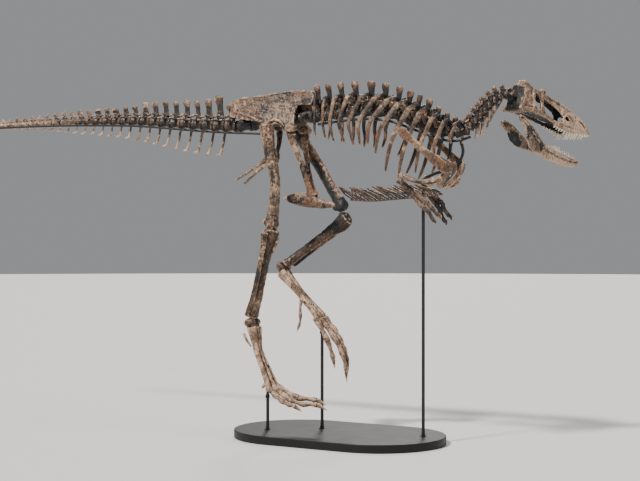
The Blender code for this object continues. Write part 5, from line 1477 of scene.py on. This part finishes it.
def make_jaw(side):
    """One side of the lower jaw: blade, shelf, joint cup and teeth."""
    piece = begin("bone_mandible_" + WORDS[side])
    sweep([jaw_ring(forward, side) for forward in JAW_STATIONS])

    def ridge(points, sizes):
        run = []
        for forward, share, out in points:
            bottom, top = jaw_edges(forward, side)
            middle = blend(forward, JAW_MIDDLE)
            run.append(head(forward, side * (middle + out), bottom + share * (top - bottom)))
        limb(run, sizes, HEAD_LEFT, 8, 2)

    ridge(((0.03, 0.55, 0.004), (0.1, 0.72, 0.01), (0.2, 0.7, 0.01), (0.3, 0.66, 0.006)),
          ((0.012, 0.012), (0.01, 0.01), (0.01, 0.009), (0.008, 0.008)))
    ridge(((0.0, 0.7, 0.0), (0.03, 0.9, 0.0)), ((0.02, 0.012), (0.018, 0.012)))
    ridge(((0.36, 0.94, 0.0), (0.5, 0.94, 0.0), (0.66, 0.93, 0.0)),
          ((0.013, 0.01), (0.013, 0.011), (0.009, 0.01)))
    ridge(((0.4, 0.08, 0.0), (0.55, 0.08, 0.0), (0.66, 0.12, 0.0)),
          ((0.012, 0.01), (0.012, 0.012), (0.009, 0.01)))
    end(piece)
    carve(piece, 0.0032, 1, 0.0032)
    patches = [(head(0.15, side * 0.1, -0.26), 0.15, 0, 0.44),
               (head(0.27, side * 0.09, -0.3), (0.03, 0.03, 0.06), 0, 0.6),
               (head(0.12, side * 0.1, -0.22), 0.17, 1, 1.0), (head(0.42, side * 0.06, -0.32), 0.15, 2, 0.9),
               (head(0.6, side * 0.03, -0.32), 0.14, 2, 0.9), (head(0.5, side * 0.05, -0.31), 0.27, 1, 2.2)]
    if side == LEFT:
        patches.append((head(0.13, side * 0.09, -0.3), 0.09, 0, 0.85))
    tone(piece, patches)
    settle_with_teeth(piece, lower_teeth(side))


# ---------------------------------------------------------------- steel and plinth
POST_RADIUS = 0.014
ROD_RADIUS = 0.0115
TAIL_ROD_RADIUS = 0.78 * ROD_RADIUS
TRUNK_ROD_RADIUS = 0.9 * ROD_RADIUS
TRUNK_ROD_DEPTH = 0.0432 + ROD_RADIUS + 0.005
MEAN_CAUDAL_LENGTH = 0.0965
RIGHT_POST = (-0.537, -0.201)
LEFT_POST = (-0.192, 0.074)
FRONT_POST = (0.7, 0.1)
PLINTH_HEIGHT = 0.065
PLINTH_LENGTH = 1.776
PLINTH_WIDTH = 1.073


def pipe(points, radius, sides, steps):
    """Round rod through these points."""
    run = flow(points, steps)
    limb(run, [(radius, radius)] * len(run), SIDE, sides, 1, False)


def turned(x, y, stops):
    """Upright turned shape from (height, radius) stops."""
    rings = []
    for height, radius in stops:
        rings.append([Vector((x + radius * math.cos(turn), y + radius * math.sin(turn), height))
                      for turn in turns(24)])
    sweep(rings)


def finish_steel(piece):
    """Close a rod or post and settle it with its edges kept crisp."""
    end(piece)
    settle(piece, "steel")
    bpy.ops.object.shade_smooth_by_angle(angle=math.radians(38))


def make_post(name, place, top):
    """Steel post with a foot flange, a clamp ring and its screw."""
    x, y = place
    base = PLINTH_HEIGHT + 0.0006
    post = begin("steel_post_" + name)
    stops = ((base, 1.95), (base + 0.004, 1.95), (base + 0.0055, 1.8), (base + 0.006, 1.15),
             (base + 0.022, 1.12), (base + 0.024, 0.92), (top - 0.06, 0.92), (top - 0.058, 1.16),
             (top - 0.03, 1.16), (top - 0.028, 0.86), (top - 0.003, 0.86), (top, 0.7))
    turned(x, y, [(height, POST_RADIUS * share) for height, share in stops])
    thumb_screw(x, y, top - 0.044)
    finish_steel(post)


def thumb_screw(x, y, z):
    """Small clamp screw standing out from a post."""
    rings = []
    for out, radius in ((0.01, 0.0045), (0.02, 0.0045), (0.02, 0.0075), (0.028, 0.0075)):
        rings.append([Vector((x + radius * math.cos(turn), y - out, z + radius * math.sin(turn)))
                      for turn in turns(8)])
    sweep(rings)


def make_steel():
    """Three posts, the tube under the neck and the rods along trunk and tail."""
    make_post("right_foot", RIGHT_POST, 0.378)
    make_post("left_foot", LEFT_POST, 0.886)
    make_post("front", FRONT_POST, 2.02)
    x, y = FRONT_POST
    tube = begin("steel_tube_front")
    pipe(((x, y, 2.0275), (x + 0.015, y, 2.06), (0.82, 0.092, 2.1), (0.94, 0.086, 2.12),
          (1.015, 0.08, 2.18), (1.046, 0.076, 2.25), (1.038, 0.07, 2.316)), ROD_RADIUS, 16, 5)
    finish_steel(tube)
    rod = begin("steel_rod_tail")
    points = []
    for step in range(25):
        distance = -0.238 + (TAIL_PATH.length + 0.096) * step / 24
        radius = caudal_radius(max(0.0, distance / MEAN_CAUDAL_LENGTH))
        place = TAIL_PATH.at(distance)
        points.append((place.x, -0.5 * radius - ROD_RADIUS - 0.0035, place.z - 0.9 * radius - ROD_RADIUS))
    pipe(points, TAIL_ROD_RADIUS, 12, 2)
    finish_steel(rod)
    rod = begin("steel_rod_trunk")
    points = [trunk_frame(0.022 + (NECK_START - 0.044) * step / 20).point(0, 0, -TRUNK_ROD_DEPTH)
              for step in range(21)]
    pipe(points, TRUNK_ROD_RADIUS, 12, 2)
    finish_steel(rod)


# Corners around each half-round end of the plinth.
PLINTH_STEPS = 72


def plinth_ring(inset, height):
    """Outline of the board: two half circles and the straight stretches between them."""
    half_long = PLINTH_LENGTH / 2 - inset
    half_wide = PLINTH_WIDTH / 2 - inset
    straight = half_long - half_wide
    ring = []
    for half, start in ((1, -90), (-1, 90)):
        for step in range(PLINTH_STEPS + 1):
            turn = math.radians(start + 180 * step / PLINTH_STEPS)
            across = half_wide * math.sin(turn)
            ring.append(Vector((half * straight + half_wide * math.cos(turn), across, height)))
    return ring


def make_plinth():
    """Low board with half-round ends and a rounded upper rim."""
    rim = bpy.context.scene.skeleton_sizes.rim
    piece = begin("plinth_board")
    rings = [plinth_ring(0.004, 0.0), plinth_ring(0.0, 0.004)]
    for part in range(7):
        turn = math.pi / 2 * part / 6
        rings.append(plinth_ring(rim * (1 - math.cos(turn)), PLINTH_HEIGHT - rim * (1 - math.sin(turn))))
    rings.append(plinth_ring(0.03, PLINTH_HEIGHT))
    sweep(rings)
    end(piece)
    settle(piece, "plinth", "plinth")
    bpy.ops.object.shade_smooth_by_angle(angle=math.radians(30))


# ---------------------------------------------------------------- surfaces


def node(tree, kind, **sockets):
    """Add a node; each named socket gets a value or a link."""
    made = tree.nodes.new(kind)
    for name, value in sockets.items():
        socket = made.inputs[int(name[1:])] if name[0] == "_" else made.inputs[name.replace("_", " ")]
        if isinstance(value, bpy.types.NodeSocket):
            tree.links.new(value, socket)
        else:
            socket.default_value = value
    return made


def sums(tree, operation, *values, clamp=False):
    """Result of a Math node."""
    made = node(tree, "ShaderNodeMath", **{"_%d" % index: value for index, value in enumerate(values)})
    made.operation = operation
    made.use_clamp = clamp
    return made.outputs[0]


def mixed(tree, factor, first, second, kind="MIX"):
    """Blend of two colours."""
    made = tree.nodes.new("ShaderNodeMix")
    made.data_type = "RGBA"
    made.blend_type = kind
    for index, value in ((0, factor), (6, first), (7, second)):
        if isinstance(value, bpy.types.NodeSocket):
            tree.links.new(value, made.inputs[index])
        else:
            made.inputs[index].default_value = value
    return made.outputs[2]


def eased(tree, value, low, high, start=0.0, stop=1.0):
    """Value carried smoothly from low..high to start..stop."""
    made = node(tree, "ShaderNodeMapRange", Value=value, From_Min=low, From_Max=high, To_Min=start,
                To_Max=stop)
    made.interpolation_type = "SMOOTHSTEP"
    return made.outputs[0]


def opaque(colour):
    return (colour[0], colour[1], colour[2], 1.0)


def mottle_group():
    """Clouds, speckles, cracks and height of a mineral surface."""
    group = bpy.data.node_groups.get("mottle")
    if group:
        return group
    group = bpy.data.node_groups.new("mottle", "ShaderNodeTree")
    group.interface.new_socket("Scale", in_out="INPUT", socket_type="NodeSocketFloat").default_value = 1.0
    for name in ("Cloud", "Drift", "Speckle", "Streak", "Crack", "Height"):
        group.interface.new_socket(name, in_out="OUTPUT", socket_type="NodeSocketFloat")
    size = group.nodes.new("NodeGroupInput").outputs["Scale"]
    place = group.nodes.new("ShaderNodeTexCoord").outputs["Object"]

    def scaled(scale):
        return sums(group, "MULTIPLY", size, scale)

    def noise(scale, detail, roughness, distortion=0.0, vector=place):
        return node(group, "ShaderNodeTexNoise", Vector=vector, Scale=scaled(scale), Detail=detail,
                    Roughness=roughness, Distortion=distortion)

    cloud = noise(8.0, 5.0, 0.62, 0.6).outputs["Fac"]
    drift = noise(24.0, 4.0, 0.6, 0.4).outputs["Fac"]
    speckle = noise(64.0, 4.0, 0.65, 0.3).outputs["Fac"]
    drawn = node(group, "ShaderNodeMapping", Vector=place, Scale=(1.0, 1.0, 0.14))
    streak = noise(85.0, 3.0, 0.6, 0.4, drawn.outputs[0]).outputs["Fac"]
    bent = group.nodes.new("ShaderNodeVectorMath")
    bent.operation = "MULTIPLY_ADD"
    group.links.new(noise(30.0, 2.0, 0.5).outputs["Color"], bent.inputs[0])
    bent.inputs[1].default_value = (0.02, 0.02, 0.02)
    group.links.new(place, bent.inputs[2])
    cells = node(group, "ShaderNodeTexVoronoi", Vector=bent.outputs[0], Scale=scaled(34.0))
    cells.feature = "DISTANCE_TO_EDGE"
    crack = sums(group, "MULTIPLY", eased(group, cells.outputs["Distance"], 0.035, 0.0),
                 eased(group, drift, 0.48, 0.6))
    grain = sums(group, "MULTIPLY_ADD", speckle, 0.35, sums(group, "MULTIPLY", drift, 0.8))
    grain = sums(group, "MULTIPLY_ADD", streak, 0.6, grain)
    height = sums(group, "SUBTRACT", grain, sums(group, "MULTIPLY", crack, 0.45))
    out = group.nodes.new("NodeGroupOutput")
    for name, value in (("Cloud", cloud), ("Drift", drift), ("Speckle", speckle), ("Streak", streak),
                        ("Crack", crack), ("Height", height)):
        group.links.new(value, out.inputs[name])
    return group


def plain(name, colour, metallic, roughness):
    """New material with its constants set on the shader."""
    made = bpy.data.materials.new(name)
    made.use_nodes = True
    shader = made.node_tree.nodes["Principled BSDF"]
    shader.inputs["Base Color"].default_value = opaque(colour)
    shader.inputs["Metallic"].default_value = metallic
    shader.inputs["Roughness"].default_value = roughness
    return made, made.node_tree, shader


def placed_mottle(tree, scale):
    """Outputs of the mottle at this scale."""
    made = tree.nodes.new("ShaderNodeGroup")
    made.node_tree = mottle_group()
    made.inputs["Scale"].default_value = scale
    return made.outputs


def bump(tree, shader, height, strength, distance):
    made = node(tree, "ShaderNodeBump", Strength=strength, Distance=distance, Height=height)
    tree.links.new(made.outputs[0], shader.inputs["Normal"])


PALENESS = {"brown_bone": 0.0, "pale_bone": 0.45, "dark_infill": 0.05}


def fossil(name, ground, extra_pale):
    """Petrified bone: brown clouds, pale crust, orange stain and black repair filler, with painted shade in
    the hollows and a painted highlight on the ridges.
    """
    colours = bpy.context.scene.skeleton_colours
    made, tree, shader = plain(name, ground, 0.0, 0.65)
    surface = placed_mottle(tree, 1.0)
    painted = node(tree, "ShaderNodeAttribute")
    painted.attribute_name = "tone"
    parts = node(tree, "ShaderNodeSeparateColor", Color=painted.outputs["Color"])
    relief_level = painted.outputs["Alpha"]
    paleness = sums(tree, "ADD", parts.outputs["Green"], extra_pale)
    marble = sums(tree, "MULTIPLY_ADD", surface["Drift"], 0.9, surface["Cloud"])
    marble = sums(tree, "MULTIPLY_ADD", surface["Speckle"], 0.3, marble)
    marble = sums(tree, "MULTIPLY_ADD", paleness, 0.17, marble)
    colour = mixed(tree, eased(tree, marble, 0.98, 1.16), opaque(colours.deep), opaque(ground))
    shade = eased(tree, surface["Cloud"], 0.66, 0.42)
    stain = sums(tree, "MULTIPLY", parts.outputs["Blue"], shade, clamp=True)
    colour = mixed(tree, stain, colour, opaque(colours.orange))
    broken = sums(tree, "MULTIPLY_ADD", eased(tree, surface["Drift"], 0.44, 0.6), 0.7, 0.12)
    crust = sums(tree, "MULTIPLY", paleness, broken, clamp=True)
    colour = mixed(tree, crust, colour, opaque(colours.pale))
    fine = eased(tree, surface["Speckle"], 0.36, 0.64, 0.72, 1.15)
    grey = node(tree, "ShaderNodeCombineColor", Red=fine, Green=fine, Blue=fine).outputs[0]
    colour = mixed(tree, 1.0, colour, grey, "MULTIPLY")
    # Dark cracks, together with painted shade darkening the hollows of the relief.
    cracks_and_hollow_shade = sums(tree, "MAXIMUM", sums(tree, "MULTIPLY", surface["Crack"], 0.9),
                eased(tree, relief_level, 0.44, 0.16, 0.0, 0.92))
    # Darker streaks, pale marbling, dark cracks with painted shade in the hollows, and a painted highlight on
    # the ridges.
    for share, over in ((eased(tree, surface["Streak"], 0.54, 0.72, 0.0, 0.65), colours.deep),
                        (eased(tree, marble, 1.24, 1.4, 0.0, 0.6), colours.pale),
                        (cracks_and_hollow_shade, [0.3 * part for part in colours.deep]),
                        (eased(tree, relief_level, 0.62, 0.96, 0.0, 0.7), colours.pale)):
        colour = mixed(tree, share, colour, opaque(over))
    level = parts.outputs["Red"]
    for pattern, share in (("Cloud", 1.1), ("Drift", 1.2), ("Streak", 0.6)):
        level = sums(tree, "MULTIPLY_ADD", sums(tree, "SUBTRACT", surface[pattern], 0.5), share, level)
    repair = eased(tree, level, 0.45, 0.54)
    colour = mixed(tree, repair, colour, opaque(colours.filler))
    tree.links.new(colour, shader.inputs["Base Color"])
    rough = eased(tree, surface["Drift"], 0.3, 0.7, 0.4, 0.62)
    rough = sums(tree, "MULTIPLY_ADD", repair, 0.1, rough)
    tree.links.new(rough, shader.inputs["Roughness"])
    bump(tree, shader, surface["Height"], 0.5, 0.007)
    return made


def tooth_enamel(name, ground):
    """Smooth cream with brown clouds."""
    made, tree, shader = plain(name, ground, 0.0, 0.34)
    surface = placed_mottle(tree, 2.2)
    colour = mixed(tree, eased(tree, surface["Drift"], 0.52, 0.74, 0.0, 0.8), opaque(ground),
                   opaque(bpy.context.scene.skeleton_colours.deep))
    tree.links.new(colour, shader.inputs["Base Color"])
    bump(tree, shader, surface["Height"], 0.2, 0.001)
    return made


def worn_metal(name, ground):
    """Black steel, unevenly polished."""
    made, tree, shader = plain(name, ground, 0.75, 0.42)
    surface = placed_mottle(tree, 3.0)
    tree.links.new(eased(tree, surface["Drift"], 0.3, 0.7, 0.34, 0.52), shader.inputs["Roughness"])
    return made


def satin_board(name, ground):
    """Black paint with a trace of dust."""
    made, tree, shader = plain(name, ground, 0.0, 0.45)
    surface = placed_mottle(tree, 0.45)
    tree.links.new(eased(tree, surface["Cloud"], 0.3, 0.7, 0.44, 0.5), shader.inputs["Roughness"])
    shader.inputs["Specular IOR Level"].default_value = 0.2
    colour = mixed(tree, eased(tree, surface["Speckle"], 0.62, 0.8, 0.0, 0.04), opaque(ground),
                   opaque([0.3, 0.28, 0.25]))
    tree.links.new(colour, shader.inputs["Base Color"])
    return made


def pale_floor(name, ground):
    return plain(name, ground, 0.0, 0.75)[0]


def dress(slot):
    """Material of this slot, made once from the colours of the scene."""
    name = "finish_" + slot
    made = bpy.data.materials.get(name)
    if made:
        return made
    colours = bpy.context.scene.skeleton_colours
    if slot in PALENESS:
        return fossil(name, colours.ground, PALENESS[slot])
    makers = {"enamel": (tooth_enamel, colours.enamel), "steel": (worn_metal, colours.steel),
              "plinth": (satin_board, colours.board), "floor": (pale_floor, colours.floor)}
    maker, colour = makers[slot]
    return maker(name, colour)


# ---------------------------------------------------------------- stage
CAMERA_PLACE = (6.454, -9.213, 1.545)
CAMERA_TURN = (math.radians(90), 0.0, math.radians(30.4))
CAMERA_LENS = 73.1
CAMERA_SHIFT = 0.0073
FLOOR_RADIUS = 60.0


def lamp(name, azimuth, elevation, spread, power, colour):
    """Soft distant lamp from an azimuth and an elevation in degrees, as wide as its spread."""
    bpy.ops.object.select_all(action="DESELECT")
    bpy.ops.object.light_add(type="SUN", location=(0, 0, 6.0))
    made = bpy.context.object
    made.name = name
    made.rotation_euler = (math.radians(90 - elevation), 0.0, math.radians(azimuth))
    made.data.energy = power
    made.data.angle = math.radians(spread)
    made.data.color = colour


def make_studio():
    """Pale floor, even sky, three soft distant lamps and the camera."""
    bpy.ops.object.select_all(action="DESELECT")
    bpy.ops.mesh.primitive_circle_add(vertices=96, radius=FLOOR_RADIUS, fill_type="NGON",
                                      location=(0, 0, -0.0004))
    floor = bpy.context.object
    floor.name = "studio_floor"
    only(floor)
    bpy.ops.object.transform_apply(location=True, rotation=False, scale=False)
    floor.data.materials.append(dress("floor"))
    world = bpy.data.worlds.new("studio_sky")
    world.use_nodes = True
    sky = world.node_tree.nodes["Background"]
    sky.inputs["Color"].default_value = (0.8, 0.81, 0.83, 1.0)
    sky.inputs["Strength"].default_value = 0.36
    bpy.context.scene.world = world
    lamp("studio_key", -20.0, 50.0, 6.0, 5.6, (1.0, 0.955, 0.89))
    lamp("studio_fill", 95.0, 25.0, 20.0, 0.9, (0.94, 0.97, 1.0))
    lamp("studio_rim", 205.0, 35.0, 12.0, 1.2, (1.0, 0.98, 0.95))
    bpy.ops.object.camera_add(location=CAMERA_PLACE, rotation=CAMERA_TURN)
    camera = bpy.context.object
    camera.name = "studio_camera"
    camera.data.lens = CAMERA_LENS
    camera.data.sensor_width = 36.0
    camera.data.shift_y = CAMERA_SHIFT
    camera.data.clip_end = 200.0
    bpy.context.scene.camera = camera


# ---------------------------------------------------------------- add-on


def size_setting(name, description, default, low, high, **more):
    return bpy.props.FloatProperty(name=name, description=description, default=default, min=low, max=high,
                                   **more)


def colour_setting(name, description, default):
    return bpy.props.FloatVectorProperty(name=name, description=description, default=default, size=3, min=0.0,
                                         max=1.0, subtype="COLOR")


class SkeletonSizes(bpy.types.PropertyGroup):
    fineness: size_setting("Fineness", "Mesh size of the carved bone, as a share of its usual size",
                           1.0, 0.8, 4.0, subtype="FACTOR")
    roughness: size_setting("Weathering", "Depth of the bone's weathering, as a share of its usual depth",
                            1.0, 0.0, 3.0, subtype="FACTOR")
    rim: size_setting("Plinth rim", "Radius of the rounded rim of the plinth", 0.006, 0.001, 0.02,
                      subtype="DISTANCE", unit="LENGTH")


class SkeletonColours(bpy.types.PropertyGroup):
    ground: colour_setting("Bone", "Main brown of the fossil bone", (0.118, 0.064, 0.037))
    # At a third of its strength also the colour of the cracks and of the painted shade in the hollows.
    deep: colour_setting("Deep brown", "Dark clouds of the fossil bone", (0.026, 0.015, 0.009))
    # Also the colour of the painted highlight on the ridges of the bone.
    pale: colour_setting("Pale crust", "Pale crust on ends and edges", (0.52, 0.35, 0.236))
    orange: colour_setting("Stain", "Iron stain", (0.205, 0.098, 0.052))
    filler: colour_setting("Filler", "Black filler of the repairs", (0.01, 0.009, 0.009))
    enamel: colour_setting("Enamel", "Teeth", (0.8, 0.72, 0.58))
    steel: colour_setting("Steel", "Posts and rods", (0.035, 0.035, 0.037))
    board: colour_setting("Board", "Plinth", (0.01, 0.01, 0.011))
    floor: colour_setting("Floor", "Studio floor", (0.6, 0.595, 0.585))


class MakeTail(bpy.types.Operator):
    """Carve the tail's vertebrae and chevrons"""
    bl_idname = "skeleton.tail"
    bl_label = "Tail"

    def execute(self, context):
        for number in range(CAUDALS // CAUDALS_PER_PIECE):
            make_tail(number)
        return {"FINISHED"}


class MakeTrunk(bpy.types.Operator):
    """Carve the back's vertebrae and the ribs"""
    bl_idname = "skeleton.trunk"
    bl_label = "Back and ribs"

    def execute(self, context):
        make_trunk()
        make_belly()
        return {"FINISHED"}


class MakeNeck(bpy.types.Operator):
    """Carve the neck's vertebrae and their ribs"""
    bl_idname = "skeleton.neck"
    bl_label = "Neck"

    def execute(self, context):
        make_neck()
        return {"FINISHED"}


class MakePelvis(bpy.types.Operator):
    """Carve the sacrum and the three pairs of hip bones"""
    bl_idname = "skeleton.pelvis"
    bl_label = "Pelvis"

    def execute(self, context):
        make_sacrum()
        for side in SIDES:
            make_ilium(side)
            make_pubis(side)
            make_ischium(side)
        return {"FINISHED"}


class MakeLegs(bpy.types.Operator):
    """Carve the leg bones down to the feet"""
    bl_idname = "skeleton.legs"
    bl_label = "Legs and feet"

    def execute(self, context):
        make_legs()
        make_feet()
        return {"FINISHED"}


class MakeArms(bpy.types.Operator):
    """Carve the shoulder blades and the arms"""
    bl_idname = "skeleton.arms"
    bl_label = "Shoulders and arms"

    def execute(self, context):
        for side in SIDES:
            make_shoulder(side)
            make_arm(side)
        return {"FINISHED"}


class MakeHead(bpy.types.Operator):
    """Carve the skull, the lower jaws and the teeth"""
    bl_idname = "skeleton.head"
    bl_label = "Head"

    def execute(self, context):
        make_skull()
        for side in SIDES:
            make_jaw(side)
        return {"FINISHED"}


class MakeSteel(bpy.types.Operator):
    """Turn the posts and bend the rods of the mount"""
    bl_idname = "skeleton.steel"
    bl_label = "Steel mount"

    def execute(self, context):
        make_steel()
        return {"FINISHED"}


class MakePlinth(bpy.types.Operator):
    """Shape the plinth"""
    bl_idname = "skeleton.plinth"
    bl_label = "Plinth"

    def execute(self, context):
        make_plinth()
        return {"FINISHED"}


class MakeStudio(bpy.types.Operator):
    """Set the floor, the sky, the lamps and the camera"""
    bl_idname = "skeleton.studio"
    bl_label = "Studio"

    def execute(self, context):
        make_studio()
        return {"FINISHED"}


STEPS = (MakeTail, MakeTrunk, MakeNeck, MakePelvis, MakeLegs, MakeArms, MakeHead, MakeSteel, MakePlinth,
         MakeStudio)


class SkeletonPanel(bpy.types.Panel):
    bl_idname = "VIEW3D_PT_skeleton"
    bl_label = "Mounted skeleton"
    bl_space_type = "VIEW_3D"
    bl_region_type = "UI"
    bl_category = "Skeleton"

    def draw(self, context):
        for settings in (context.scene.skeleton_sizes, context.scene.skeleton_colours):
            for name in settings.__annotations__:
                self.layout.prop(settings, name)
        for step in STEPS:
            self.layout.operator(step.bl_idname)


CLASSES = (SkeletonSizes, SkeletonColours) + STEPS + (SkeletonPanel,)


def register():
    for made in CLASSES:
        bpy.utils.register_class(made)
    bpy.types.Scene.skeleton_sizes = bpy.props.PointerProperty(type=SkeletonSizes)
    bpy.types.Scene.skeleton_colours = bpy.props.PointerProperty(type=SkeletonColours)


def unregister():
    del bpy.types.Scene.skeleton_colours
    del bpy.types.Scene.skeleton_sizes
    for made in reversed(CLASSES):
        bpy.utils.unregister_class(made)


def main():
    register()
    tools = bpy.ops.skeleton
    tools.tail()
    tools.trunk()
    tools.neck()
    tools.pelvis()
    tools.legs()
    tools.arms()
    tools.head()
    tools.steel()
    tools.plinth()
    tools.studio()


if __name__ == "__main__":
    main()
